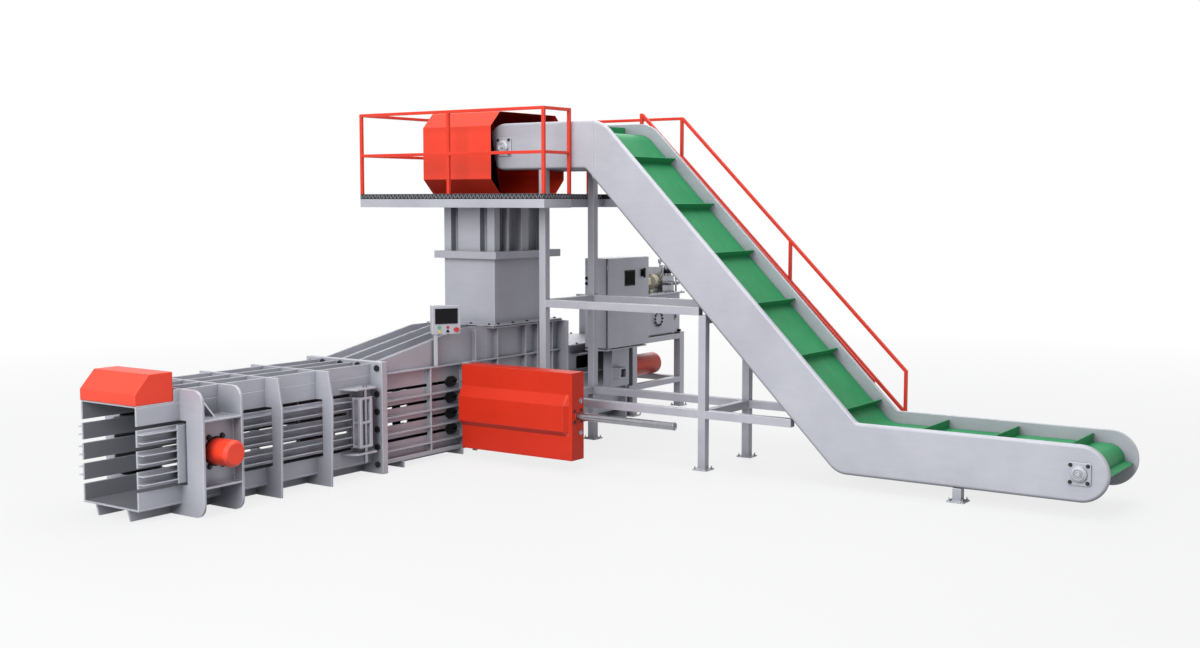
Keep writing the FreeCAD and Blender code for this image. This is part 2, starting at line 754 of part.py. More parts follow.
def wire_guides():
    """Flat forks that lead the tie wires into the slots: the needles pass between their prongs."""
    start = needle_along - 10 * plate
    end = start + spade_long
    slope = 3 * plate
    out = -channel_half - plate * 0.75
    edge = [(start, prong_gap), (start + slope, spade_half), (end - slope, spade_half),
            (end, 2 * plate), (end, prong_gap), (end - 3.5 * plate, prong_gap)]
    forks = []
    for slot in press_slots:
        points = [(x, slot - z) for x, z in edge] + [(x, slot + z) for x, z in reversed(edge)]
        forks.append(profile("XZ", points, out, plate * 0.75))
    node("wire_guides", forks + [mirror_y(one) for one in forks], welded=False)


def rear_chamber():
    """Chamber that the main ram rests in, from its frame plate to the bulkhead of the cylinder."""
    slot_x = rear_start + 22.5 * plate
    slot_end = slot_x + 22 * plate
    slot_low = size("service_slot_low", 865)
    slot_high = size("service_slot_high", 1055)
    wall = [(rear_start, floor_top), (rear_end, floor_top), (rear_end, roof_top), (rear_start, roof_top)]
    window = [(slot_x, slot_low), (slot_end, slot_low), (slot_end, slot_high), (slot_x, slot_high)]
    ends = [(slot_x, slot_low), (slot_end, slot_low), (slot_end, slot_high), (slot_x, slot_high)]
    near = profile("XZ", wall, -channel_half, plate, holes=[window],
                   rounds=[(plate * 1.9, ends)])
    pieces = [
        near,
        box(rear_start, rear_end, wall_in, channel_half, floor_top, roof_top),
        box(rear_start, rear_end, -channel_half, channel_half, floor_low, floor_top),
        box(slot_x - 6 * plate, slot_end + 6 * plate, -rim_half, -channel_half,
            slot_low - 3 * plate, slot_low - 2 * plate),
        box(slot_x - 6 * plate, slot_end + 6 * plate, -rim_half, -channel_half,
            slot_high + 2 * plate, slot_high + 3 * plate),
    ]
    for y in (-skid_out, skid_out - plate):
        pieces.append(box(rear_start, rear_end, y, y + plate, 0, floor_low))
    wide = channel_half + 5 * plate
    block = box(rear_end, rear_end + bulkhead, -wide, wide, 0, roof_top)
    bore = round_bar("X", barrel_radius + fit_gap, bulkhead, rear_end, 0, barrel_height)
    pieces.append(cut(block, [bore]))
    frame = box(press_end, rear_start, -flange_half, flange_half, 0, base_top)
    hole = box(press_end, rear_start, -wall_in, wall_in, floor_top, roof_low)
    pieces.append(cut(frame, [hole]))
    node("rear_chamber", pieces + cabinet_bracket())
    node("rear_cover", [box(rear_start, rear_end, -rim_half, channel_half, roof_top, roof_top + plate)],
         welded=False)


def cabinet_bracket():
    """Column and shelf that carry the electric cabinet beside the rear chamber."""
    column = cabinet_front + size("column_setback", 472)
    column_long = size("column_long", 450)
    back = cabinet_back
    column_end = column + column_long
    return [
        box(column, column_end, -back - 8 * plate, -back, slots[1], cabinet_low - 2 * plate),
        box(cabinet_front, cabinet_front + cabinet_wide, plate - cabinet_near, -back,
            cabinet_low - 2 * plate, cabinet_low - plate),
        box(column_end - plate, column_end, -back, -channel_half, slots[1], cabinet_low - 3 * plate),
        box(column + 3 * plate, column + 7 * plate, -back - 12 * plate, -back - 8 * plate,
            slots[2] - 2 * plate, slots[2] + 2 * plate),
    ]


def main_ram():
    """Pressing ram: a face plate with a box body behind it, open at the back."""
    half = wall_in - ram_side_gap
    low = floor_top + slide_gap
    high = roof_low - ram_side_gap
    end = ram_start + main_ram_long
    body = box(ram_start, end, -half, half, low, high)
    room = box(ram_start + 2 * ram_plate, end, ram_plate - half, half - ram_plate,
               low + ram_plate, high - ram_plate)
    stroke = size("main_stroke", 1450)
    rod_start = ram_start + 2 * ram_plate
    piston_end = barrel_end - 10 * plate
    rod = round_bar("X", rod_radius, piston_end - rod_start, rod_start, 0, barrel_height)
    piston = round_bar("X", barrel_radius - barrel_wall - fit_gap, 5 * plate, piston_end - 5 * plate,
                       0, barrel_height)
    node("main_ram", [cut(body, [room])], welded=False)
    node("piston_rod", [rod, piston])
    if (piston_end - stroke).value < barrel_start.value:
        raise RuntimeError("the piston would leave its barrel")


def main_cylinder():
    """Barrel turned in one piece with its gland and domed cap, bored for rod and piston."""
    body = DOC.addObject("PartDesign::Body", "Profile")
    sketch = body.newObject("Sketcher::SketchObject", "Outline")
    origin_plane = [f for f in body.Origin.OriginFeatures if f.Role == "XZ_Plane"][0]
    sketch.AttachmentSupport = [(origin_plane, "")]
    sketch.MapMode = "FlatFace"
    bind(sketch, ".AttachmentOffset.Base.y", barrel_height)
    gland = 5 * plate
    rod_hole = rod_radius + fit_gap
    bore = barrel_radius - barrel_wall
    end = barrel_end - 3 * plate
    shape = [(barrel_start, rod_hole), (barrel_start, barrel_radius),
             (end, barrel_radius), (barrel_end - plate / 2, bore - 2 * plate), (barrel_end, bore / 3),
             (barrel_end, 0), (end - 2 * plate, 0), (end - 2 * plate, bore),
             (barrel_start + gland, bore), (barrel_start + gland, rod_hole)]
    outline(sketch, shape)
    turned = body.newObject("PartDesign::Revolution", "Turned")
    turned.Profile = sketch
    turned.ReferenceAxis = (sketch, ["H_Axis"])
    turned.Angle = 360
    sketch.Visibility = False
    body.Tip = turned
    node("main_cylinder", [body], welded=False)


def tying_unit():
    """Housing of the wire tying unit: a tall box with a pressed panel, open toward the press."""
    back = tying_back
    swell = size("panel_swell", 70)
    high_fold = tying_top - size("high_fold", 273)
    low_fold = tying_low + size("low_fold", 301)
    high_panel = high_fold - size("high_slope", 136)
    low_panel = low_fold + size("low_slope", 66)
    panel = [(tying_front, tying_low), (back, tying_low), (back, tying_top), (tying_front, tying_top),
             (tying_front, high_fold), (tying_front - swell, high_panel),
             (tying_front - swell, low_panel), (tying_front, low_fold)]
    long = Size.of(tying_out) - tying_in
    outer = profile("XZ", panel, -tying_out, long)
    wall = sheet_metal
    room = box(tying_front + wall, back - wall, wall - tying_out, -tying_in, tying_low + wall,
               tying_top - wall)
    swell_room = [(tying_front + wall, high_fold - wall), (tying_front - swell + wall, high_panel - wall),
                  (tying_front - swell + wall, low_panel + wall), (tying_front + wall, low_fold + wall)]
    panel_room = profile("XZ", swell_room, wall - tying_out, long - wall)
    end_radius = size("draw_rod_radius", 47.5)
    rod_height = size("draw_rod_height", 680)
    rod_hole = round_bar("Y", end_radius + fit_gap, 2 * plate, needle_along, -tying_out - plate, rod_height)
    node("tying_cover", [cut(outer, [room, panel_room, rod_hole])], welded=False)
    carriage_y = -tying_out + 8 * plate
    rod_end = size("draw_rod_end", 3860)
    rod = round_bar("Y", end_radius, rod_end + carriage_y, needle_along, -rod_end, rod_height)
    yoke = box(needle_along - 2 * plate, needle_along + 2 * plate, carriage_y, carriage_y + 2 * plate,
               press_slots[0] - 2 * plate, press_slots[-1] + 2 * plate)
    needle_half = plate * 0.4
    needle_wide = plate * 1.5
    needles = [box(needle_along - needle_wide, needle_along + needle_wide, carriage_y + 2 * plate,
                   -rim_half, slot - needle_half, slot + needle_half) for slot in press_slots]
    node("needle_carriage", [rod, yoke] + needles)


def hydraulic_unit():
    """Stand, oil tank, motor, valves and the electric cabinet beside the main cylinder."""
    leg = size("stand_leg", 120)
    stand_front = rear_end + size("stand_setback", 140)
    stand_back = barrel_end - 2 * plate
    stand_far = channel_half + size("stand_beyond", 140)
    stand_near = -stand_far
    stand_top = size("stand_top", 1216)
    pieces = []
    for x in (stand_front, stand_back - leg):
        for y in (stand_near, stand_far - leg):
            pieces.append(box(x, x + leg, y, y + leg, foot_thick, stand_top))
            pieces.append(box(x - 2 * plate, x + leg + 2 * plate, y - 2 * plate, y + leg + 2 * plate,
                              0, foot_thick))
    deep = leg * 0.7
    for low in (size("stand_shelf", 400), stand_top - leg * 0.9):
        for y in (stand_near, stand_far - leg):
            pieces.append(box(rear_end + bulkhead, stand_back - leg, y, y + leg, low, low + deep))
        for x in (stand_front, stand_back - leg):
            pieces.append(box(x, x + leg, stand_near + leg, stand_far - leg, low, low + deep))
    node("power_stand", pieces)
    tank_front = rear_end + size("tank_setback", 50)
    tank_long = size("tank_long", 1520)
    tank_near = size("tank_near", -570)
    tank_wide = size("tank_wide", 930)
    tank_tall = size("tank_tall", 630)
    lid_over = size("lid_over", 60)
    lid_top = stand_top + tank_tall + lid_over / 2
    body = box(tank_front, tank_front + tank_long, tank_near, tank_near + tank_wide,
               stand_top, stand_top + tank_tall)
    lid = box(tank_front, tank_front + tank_long + lid_over, tank_near - lid_over,
              tank_near + tank_wide + lid_over, stand_top + tank_tall, lid_top)
    cover_y = tank_near - plate
    cover = round_bar("Y", size("manhole_radius", 130), plate, tank_front + size("manhole_along", 846),
                      cover_y, stand_top + size("manhole_up", 254))
    node("oil_tank", [body, lid, cover])
    motor_x = tank_front + size("motor_along", 380)
    motor_y = size("motor_side", -330)
    motor_radius = size("motor_radius", 150)
    motor_z = lid_top + motor_radius + plate
    barrel = round_bar("X", motor_radius, 30 * plate, motor_x, motor_y, motor_z)
    bell = round_bar("X", motor_radius * 0.75, 7 * plate, motor_x + 30 * plate, motor_y, motor_z)
    feet = [box(x, x + 4 * plate, motor_y - 6 * plate, motor_y + 6 * plate, lid_top, motor_z - 3 * plate)
            for x in (motor_x + 3 * plate, motor_x + 22 * plate)]
    node("pump_motor", [barrel, bell] + feet)
    block_x = motor_x + 37 * plate
    blocks = [box(block_x, block_x + 17 * plate, motor_y - 8 * plate, motor_y + 8 * plate,
                  lid_top, lid_top + 13 * plate)]
    for i in range(3):
        x = block_x + (1 + 5.5 * i) * plate
        blocks.append(box(x, x + 4 * plate, motor_y - 6 * plate, motor_y + 6 * plate,
                          lid_top + 13 * plate, lid_top + 20 * plate))
        blocks.append(round_bar("Y", plate * 1.5, 5 * plate, x + 2 * plate, motor_y - 13 * plate,
                                lid_top + 7 * plate))
    node("valve_block", blocks)


def control_cabinet():
    """Electric cabinet on two rails, with a hinged door and the isolator's knob on it."""
    front = cabinet_front
    end = cabinet_front + cabinet_wide
    body = box(front, end, -cabinet_near, -cabinet_back, cabinet_low, cabinet_top)
    room = box(front + plate, end - plate, -cabinet_near, -cabinet_back - sheet_metal,
               cabinet_low + plate, cabinet_top - plate)
    rails = [box(x, x + 3 * plate, plate - cabinet_near, -cabinet_back - plate, cabinet_low - plate,
                 cabinet_low) for x in (front + 2 * plate, end - 5 * plate)]
    node("control_cabinet", [cut(body, [room])] + rails)
    door_back = -cabinet_near - slide_gap
    door_face = door_back - plate
    node("cabinet_door", [box(front, end, door_face, door_back, cabinet_low, cabinet_top)], welded=False)
    knob_x = cabinet_front + size("knob_along", 885)
    knob_z = cabinet_low + size("knob_up", 1067)
    rose_face = door_face - slide_gap - plate / 2
    rose = round_bar("Y", plate * 2, plate / 2, knob_x, rose_face, knob_z)
    grip = box(knob_x - plate * 0.4, knob_x + plate * 0.4, rose_face - plate, rose_face,
               knob_z - plate * 1.9, knob_z + plate * 1.9)
    node("isolator_knob", [rose, grip])


PANEL_TURN = -32.3


def operator_panel():
    """Operator panel on a post, turned toward the discharge end, with buttons that press in."""
    at = [tying_front - size("panel_ahead", 180), -channel_half - size("panel_beyond", 140), size("panel_height", 1626)]
    half = size("panel_half", 189)
    tall = size("panel_tall", 371)
    deep = size("panel_thick", 90)
    button = size("button_radius", 16)
    stem = size("button_stem", 12)
    bore = size("button_bore", 14)
    left = size("button_left", -94)
    middle = size("button_middle", 17)
    right = size("button_right", 129)
    high = size("button_high", 88)
    low = size("button_low", 36)
    stop = size("stop_up", 56)
    spots = {"green_button": (left, high), "yellow_button": (left, low), "red_button": (middle, high),
             "black_button": (middle, low)}
    holes = [round_bar("Y", button + fit_gap, bore, u, 0, v) for u, v in spots.values()]
    holes.append(round_bar("Y", stem + fit_gap, bore, right, 0, stop))
    post = size("panel_post_half", 25)
    post_in = size("panel_post_in", 35)
    post_side = size("panel_post_side", -140)
    pieces = [cut(box(-half, half, 0, deep, 0, tall), holes),
              box(post_side - post, post_side + post, post_in - post, post_in + post,
                  roof_low - at[2], 0)]
    turned = (at, PANEL_TURN)
    node("operator_panel", pieces, at=turned)
    screen_side = size("screen_side", 39)
    screen_top = tall - size("screen_drop", 41)
    screen = box(screen_side - half, half - screen_side, -plate / 4, 0,
                 screen_top - size("screen_tall", 196), screen_top)
    node("operator_screen", [screen], welded=False, at=turned)
    for name, (u, v) in spots.items():
        node(name, [round_bar("Y", button, stem + plate / 5, u, -stem, v)], welded=False, at=turned)
    head = size("stop_radius", 30)
    neck = round_bar("Y", stem, plate * 1.2, right, -plate, stop)
    cap = round_bar("Y", head, plate, right, -2 * plate, stop)
    node("emergency_stop", [neck, cap], at=turned)


def deck_outline(inset):
    """The deck's edge, stepped back for the conveyor and out again for the stair landing."""
    step = conveyor_front - plate / 2
    return [(deck_front + inset, inset - deck_near), (step - inset, inset - deck_near),
            (step - inset, inset - deck_step), (landing_front + inset, inset - deck_step),
            (landing_front + inset, inset - landing_near), (deck_back - inset, inset - landing_near),
            (deck_back - inset, deck_far - inset), (deck_front + inset, deck_far - inset)]


def chute_hole(margin):
    """The deck's hole round the upper chute."""
    back = hopper_back
    return [(hopper_front - margin, -hopper_half - margin), (back + margin, -hopper_half - margin),
            (back + margin, hopper_half + margin), (hopper_front - margin, hopper_half + margin)]


def platform():
    """Deck pan on a frame of beams round the upper chute."""
    hole = chute_hole(Size.of(0))
    top = profile("XY", deck_outline(Size.of(0)), deck_low, deck_top - deck_low, holes=[hole])
    pan = profile("XY", deck_outline(plate / 2), deck_low, deck_top - deck_low - plate / 2,
                  holes=[chute_hole(plate / 2)])
    node("platform_deck", [cut(top, [pan])], welded=False)
    low = deck_low - deck_beam
    wide = 3 * plate
    ring = profile("XY", deck_outline(Size.of(0)), low, deck_beam, holes=[deck_outline(wide)])
    joists = []
    for y in (-hopper_half - wide, hopper_half):
        joists.append(box(deck_front + wide, deck_back - wide, y, y + wide, low, deck_low))
    back = hopper_back
    for x in (hopper_front - wide, back):
        for y0, y1 in ((wide - deck_step, -hopper_half - wide), (-hopper_half, hopper_half),
                       (hopper_half + wide, deck_far - wide)):
            joists.append(box(x, x + wide, y0, y1, low, deck_low))
    node("platform_frame", [ring] + joists)


def rail_span(along, low, high, line, posts):
    """Top rail, knee rail and posts of one straight guard rail, along x or y."""
    pieces = []
    for level in (rail_top, rail_mid):
        ends = (low, high, line, line + rail_wide) if along == "X" else (line, line + rail_wide, low, high)
        pieces.append(box(*ends, level - rail_wide, level))
    for spot in posts:
        corner = (spot, line) if along == "X" else (line, spot)
        pieces.append(box(corner[0], corner[0] + rail_wide, corner[1], corner[1] + rail_wide,
                          deck_top, rail_top))
    return pieces


def guard_rails():
    """Guard rails round the deck."""
    middle = (deck_front + deck_back - rail_wide) / 2
    step = conveyor_front - plate / 2
    pieces = rail_span("Y", -deck_near, deck_far, deck_front,
                       [-deck_near, (deck_far - deck_near - rail_wide) / 2, deck_far - rail_wide])
    pieces += rail_span("X", deck_front, step, -deck_near, [step - rail_wide])
    pieces += rail_span("X", deck_front, deck_back, deck_far - rail_wide,
                        [middle, deck_back - rail_wide])
    pieces += rail_span("Y", -landing_near, deck_far, deck_back - rail_wide,
                        [-landing_near, (deck_far - landing_near - rail_wide) / 2])
    node("guard_rails", pieces)


def stair():
    """Stair from the landing to the floor: two stringers, treads and handrails."""
    slope = deck_top.value / (stair_foot - landing_near).value
    side = rail_wide
    drop = stringer_deep * math.hypot(1, slope)
    stringer = [(-landing_near, deck_top), (-stair_foot, 0), (drop / slope - stair_foot, 0),
                (-landing_near, deck_top - drop)]
    pieces = [profile("YZ", stringer, x, side) for x in (landing_front, deck_back - side)]
    rise = deck_top / (step_count + 1)
    going = (stair_foot - landing_near) / (step_count + 1)
    for i in range(1, step_count + 1):
        nose = -landing_near - going * i
        level = deck_top - rise * i - plate / 2
        pieces.append(box(landing_front + side, deck_back - side, nose, nose + going * 1.15,
                          level - 1.5 * plate, level))
    node("stair", pieces)
    near_rail = join(handrail(landing_front, slope) + [
        box(landing_front, landing_front + side, -landing_near, side - landing_near, deck_top, rail_top)])
    node("stair_handrails", [near_rail, join(handrail(deck_back - side, slope))], welded=False)


def handrail(x, slope):
    """Hand rail and knee rail down one side of the stair, on two posts."""
    side = rail_wide
    height = rail_top - deck_top
    bars = []
    for up in (height, height / 2):
        thick = rail_wide * math.hypot(1, slope)
        bars.append(profile("YZ", [(-landing_near, deck_top + up), (-stair_foot, up),
                                   (-stair_foot, up - thick), (-landing_near, deck_top + up - thick)],
                            x, side))
    for share in (0.5, 1.0):
        inner = -landing_near - (stair_foot - landing_near - side) * share
        level = deck_top + (inner + landing_near) * slope
        drop = side * slope
        bars.append(profile("YZ", [(inner, level), (inner, level + height - side),
                                   (inner - side, level + height - side - drop),
                                   (inner - side, level - drop)], x, side))
    return bars


def head_hood():
    """Octagonal sheet hood over the head of the conveyor, open toward the belt and to the chute."""
    front = hopper_front - size("hood_ahead", 180)
    back = hopper_back + size("hood_behind", 275)
    near = hopper_half + size("hood_near_beyond", 95)
    far = hopper_half + size("hood_far_beyond", 215)
    top = deck_top + size("hood_tall", 1110)
    corner = size("hood_corner", 200)

    def shell(inset, start, end):
        bevel = corner - inset * 0.6
        low = deck_top + inset
        high = top - inset
        points = [(front + inset, low + bevel), (front + bevel + inset, low),
                  (back - bevel - inset, low), (back - inset, low + bevel),
                  (back - inset, high - bevel), (back - bevel - inset, high),
                  (front + bevel + inset, high), (front + inset, high - bevel)]
        return profile("XZ", points, start, end - start)

    outer = shell(Size.of(0), -near, far)
    inner = shell(sheet_metal, -near - sheet_metal, far - sheet_metal)
    deep = panel_deep
    mouth = box(hopper_front + deep, hopper_back - deep, deep - hopper_half, hopper_half - deep, deck_top,
                deck_top + 2 * sheet_metal)
    node("head_hood", [cut(outer, [inner, mouth])], welded=False)


BEND = math.tan(math.radians(22.5))


def path_line(offset, tail, head):
    """The conveyor's path at an offset from its middle: two ends with the two bends between them."""
    return [(-tail, run_low + offset), (-low_bend - offset * BEND, run_low + offset),
            (-high_bend - offset * BEND, run_high + offset), (-head, run_high + offset)]


def band(low, high, x, thick, tail, head):
    """A plate between two offsets from the conveyor's path, its bends rounded about one centre each."""
    rounds = []
    for offset in (low, high):
        inner = hold_round + belt_outer
        above = offset.value > 0
        low_radius = inner - offset if above else low_round - conveyor_depth - offset
        high_radius = high_round - conveyor_depth + offset if above else inner + offset
        line = path_line(offset, tail, head)
        rounds += [(low_radius, [line[1]]), (high_radius, [line[2]])]
    points = path_line(low, tail, head) + list(reversed(path_line(high, tail, head)))
    return profile("YZ", points, x, thick, rounds=rounds)


def loop_solid(half, x, thick):
    """A band closed by a round end at the tail and at the head."""
    return [band(-half, half, x, thick, tail_out, head_out),
            round_bar("X", half, thick, x, -tail_out, run_low),
            round_bar("X", half, thick, x, -head_out, run_high)]


def conveyor_walls():
    """Bent side walls with round ends, and holes for the shafts."""
    for name, x in (("conveyor_wall_front", conveyor_front),
                    ("conveyor_wall_back", conveyor_back - conveyor_sheet)):
        holes = [round_bar("X", shaft_radius + plate / 2, conveyor_sheet, x, -out, z)
                 for out, z in ((tail_out, run_low), (head_out, run_high))]
        node(name, [cut(join(loop_solid(conveyor_depth, x, conveyor_sheet)), holes)], welded=False)


def conveyor_pan():
    """Slider bed under the carrying run and closed underside, welded between the walls."""
    start = conveyor_front + conveyor_sheet
    thick = conveyor_wide - 2 * conveyor_sheet
    pan_low = bed_gap - conveyor_depth
    bed_high = belt_outer - belt_thick - bed_gap
    tail = tail_out - belt_outer
    head = head_out + belt_outer
    node("conveyor_pan", [band(low, low + bed_sheet, start, thick, tail, head)
                          for low in (bed_high - bed_sheet, pan_low)], welded=False)


CLIMB = 45.0


def cleat(run_y, run_z, angle, along, side):
    """One cleat standing on the belt, along a run that starts at a point and climbs at an angle."""
    turn = math.radians(angle)
    y = -run_y + along * math.cos(turn) - belt_outer * (side * math.sin(turn))
    z = run_z + along * math.sin(turn) + belt_outer * (side * math.cos(turn))
    block = DOC.addObject("Part::Box", "Cleat")
    lean = angle if side > 0 else angle + 180.0
    block.Placement = FreeCAD.Placement(FreeCAD.Vector(), FreeCAD.Rotation(FreeCAD.Vector(1, 0, 0), lean))
    bind(block, "Length", conveyor_wide - 2 * (conveyor_sheet + belt_margin))
    bind(block, "Width", cleat_thick)
    bind(block, "Height", cleat_tall)
    place(block, conveyor_front + conveyor_sheet + belt_margin, y, z)
    return block


def conveyor_belt():
    """Endless belt round the path, with cleats at an even pitch along each run."""
    x = conveyor_front + conveyor_sheet + belt_margin
    thick = conveyor_wide - 2 * (conveyor_sheet + belt_margin)
    outer = join(loop_solid(belt_outer, x, thick))
    inner = join(loop_solid(belt_outer - belt_thick, x, thick))
    belt = cut(outer, [inner])
    climb_long = (low_bend - high_bend) * math.sqrt(2)
    circle = 2 * math.pi * belt_outer.value
    flat_long = (tail_out - low_bend) + (high_bend - head_out)
    pitch = (2 * (climb_long + flat_long).value + circle) / cleat_count
    tail_first = size("cleat_at_tail", 180)
    climb_first = size("cleat_at_climb", 355)
    head_first = size("cleat_at_head", 270)
    pieces = [belt]
    for side in (1, -1):
        for k in range(3):
            pieces.append(cleat(tail_out, run_low, 0.0, tail_first + pitch * k, side))
        for k in range(6):
            pieces.append(cleat(low_bend, run_low, CLIMB, climb_first + pitch * k, side))
        for k in range(2):
            pieces.append(cleat(high_bend, run_high, 0.0, head_first + pitch * k, side))
    pieces.append(cleat(tail_out, run_low, 100.0, Size.of(0), 1))
    node("conveyor_belt", pieces)


def pulleys():
    """Head and tail pulley, each turned on its shaft, in flanged bearings bolted to the walls."""
    x = conveyor_front + conveyor_sheet + belt_margin
    thick = conveyor_wide - 2 * (conveyor_sheet + belt_margin)
    end = conveyor_back
    stub = 3 * plate
    drive = size("drive_long", 200)
    pieces = []
    for name, out, z, tail in (("tail_pulley", tail_out, run_low, stub),
                               ("head_pulley", head_out, run_high, stub + drive)):
        drum = round_bar("X", belt_outer - belt_thick - slide_gap, thick, x, -out, z)
        shaft = round_bar("X", shaft_radius, conveyor_wide + stub + tail, conveyor_front - stub, -out, z)
        node(name, [drum, shaft])
        half = size(f"{name}_flange", 125)
        for start, hub_start in ((conveyor_front - plate, conveyor_front - 2.5 * plate),
                                 (end, end + plate)):
            flange = box(start, start + plate, -out - half, -out + half, z - half, z + half)
            hub = round_bar("X", shaft_radius * 2, 1.5 * plate, hub_start, -out, z)
            bore = round_bar("X", shaft_radius + fit_gap, 4 * plate, hub_start - plate, -out, z)
            pieces.append(cut(join([flange, hub]), [bore]))
    node("conveyor_bearings", pieces, welded=False)
    gear_x = end + stub
    half = size("gear_half", 80)
    gear = box(gear_x, gear_x + drive, -head_out - half, -head_out + half, run_high - half,
               run_high + 2 * half)
    bore = round_bar("X", shaft_radius + fit_gap, drive, gear_x, -head_out, run_high)
    arm = box(end, gear_x + plate, -head_out - half, -head_out + half, run_high + half * 1.6,
              run_high + half * 1.9)
    motor = round_bar("X", half * 0.9, 2 * drive, gear_x + drive, -head_out, run_high + half * 1.2)
    node("drive_motor", [cut(join([gear, arm, motor]), [bore])], welded=False)


def foot(x, y, drilled):
    """A foot plate under the post whose corner is given, with four anchor holes if it is drilled."""
    over = (foot_wide - post_wide) / 2
    base = box(x - over, x + post_wide + over, y - over, y + post_wide + over, 0, foot_thick)
    if not drilled:
        return base
    lap = over - anchor_inset
    holes = [round_bar("Z", anchor_radius, foot_thick, x + u, y + v, 0)
             for u in (-lap, post_wide + lap) for v in (-lap, post_wide + lap)]
    return cut(base, holes)


def supports():
    """Posts with foot plates, and the beams between them, under the platform and the conveyor."""
    rows = (conveyor_front, conveyor_back - post_wide + plate)
    under = run_high - conveyor_depth
    corner = -high_bend + conveyor_depth * BEND
    high_y = -deck_step - post_wide
    low_y = corner - (under - ring_low)
    inner = rows[0] + post_wide
    brace_top = brace_low + post_wide
    posts = []
    for x in rows:
        for y, top in ((high_y, under), (low_y, ring_low), (-leg_out, run_low - conveyor_depth)):
            drilled = x is rows[0] and y is high_y
            posts.append(join([box(x, x + post_wide, y, y + post_wide, foot_thick, top),
                               foot(x, y, drilled)]))
    node("support_posts", posts, welded=False)
    beams = []
    brace_end = corner - (under - brace_top)
    for x in rows:
        beams.append(box(x, x + post_wide, low_y + post_wide, high_y, ring_low, ring_low + post_wide))
        beams.append(box(x, x + post_wide, low_y + post_wide, high_y, brace_low, brace_top))
        beams.append(box(x, x + post_wide, brace_end, low_y, brace_low, brace_top))
    beams.append(box(inner, rows[1], high_y, high_y + post_wide, ring_low, ring_low + post_wide))
    beams.append(box(inner, rows[1], low_y, low_y + post_wide, ring_low - post_wide, ring_low))
    for y in (high_y, low_y):
        beams.append(box(inner, rows[1], y, y + post_wide, brace_low, brace_top))
    node("support_beams", beams, welded=False)


def check_and_write():
    """Check every object and every sub-part, then write one file for each sub-part."""
    DOC.recompute()
    for thing in DOC.Objects:
        if "Invalid" in thing.State or "Error" in thing.State:
            raise RuntimeError(f"{thing.Name} ({thing.Label}) failed: {thing.State}")
    for part in NODES:
        if part.Shape.isNull() or not part.Shape.isValid():
            raise RuntimeError(f"{part.Label} has no valid shape")
    os.makedirs("parts", exist_ok=True)
    for part in NODES:
        part.Shape.exportStep(f"parts/{part.Label}.step")


channel_floor()
channel_roof()
channel_walls()
channel_frames()
squeeze_cylinders()
squeeze_rams()
squeeze_walls()
hinge_shafts()
discharge_hood()
bolted_flanges()
press_walls()
press_floor()
press_roof()
hopper_base()
hopper_lower()
hopper_upper()
wire_guides()
rear_chamber()
main_ram()
main_cylinder()
tying_unit()
hydraulic_unit()
control_cabinet()
operator_panel()
platform()
guard_rails()
stair()
head_hood()
conveyor_walls()
conveyor_pan()
conveyor_belt()
pulleys()
supports()
check_and_write()
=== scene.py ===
# %% [markdown]
# # A recycling baler, dressed for its portrait
# The shapes of this machine come from the shared frame: welded channel, press, hopper, platform and a
# cleated conveyor. This lesson gives every one of them a painted, rolled or moulded finish, and models the
# small parts that make a machine look real: bolts, bearings, gauges, valves and the tread of the deck.
# Everything is in metres. X runs along the baler, Y along the conveyor and Z upwards.

# %% Load the frame
import json
import math

import bmesh
import bpy
from mathutils import Matrix, Vector


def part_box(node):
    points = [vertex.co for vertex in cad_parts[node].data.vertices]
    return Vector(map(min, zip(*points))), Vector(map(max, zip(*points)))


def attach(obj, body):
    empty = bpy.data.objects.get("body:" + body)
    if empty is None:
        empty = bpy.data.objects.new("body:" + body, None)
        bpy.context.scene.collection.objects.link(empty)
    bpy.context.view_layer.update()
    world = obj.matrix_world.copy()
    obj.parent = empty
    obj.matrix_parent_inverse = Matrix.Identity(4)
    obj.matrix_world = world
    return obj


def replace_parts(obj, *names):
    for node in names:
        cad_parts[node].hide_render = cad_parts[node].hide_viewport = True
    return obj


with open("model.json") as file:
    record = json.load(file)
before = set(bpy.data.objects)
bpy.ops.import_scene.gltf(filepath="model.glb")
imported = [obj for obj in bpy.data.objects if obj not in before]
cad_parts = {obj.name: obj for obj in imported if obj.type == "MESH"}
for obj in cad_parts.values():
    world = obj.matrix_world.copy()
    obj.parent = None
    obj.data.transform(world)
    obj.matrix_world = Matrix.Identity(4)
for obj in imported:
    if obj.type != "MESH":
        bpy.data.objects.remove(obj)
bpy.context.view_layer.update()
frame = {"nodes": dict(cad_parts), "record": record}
NODES = frame["nodes"]

# %% [markdown]
# ## Where the photographer stands
# The eye is at the height of the platform, off the corner between the discharge end and the foot of the
# conveyor. The lens is a normal one. All three vanishing points of the picture agree on this one stand, so
# the camera is set from numbers and no fitting is left to chance.

# %% Camera
EYE = Vector((-14.434, -8.98925, 3.35))
HEADING = Vector((0.8219, 0.5697, 0.0)).normalized()
PITCH = math.radians(5.006)
FOCAL = 42.467
FILM = 36.0
FARTHEST = 200.0
lens = bpy.data.cameras.new("portrait_lens")
lens.lens = FOCAL
lens.sensor_width = FILM
lens.clip_end = FARTHEST
camera = bpy.data.objects.new("portrait_camera", lens)
camera.location = EYE
sight = HEADING * math.cos(PITCH) - Vector((0.0, 0.0, math.sin(PITCH)))
camera.rotation_euler = sight.to_track_quat("-Z", "Y").to_euler()
bpy.context.scene.collection.objects.link(camera)
bpy.context.scene.camera = camera
bpy.context.scene.view_settings.view_transform = "Standard"
print("camera looks along", tuple(round(v, 3) for v in sight))

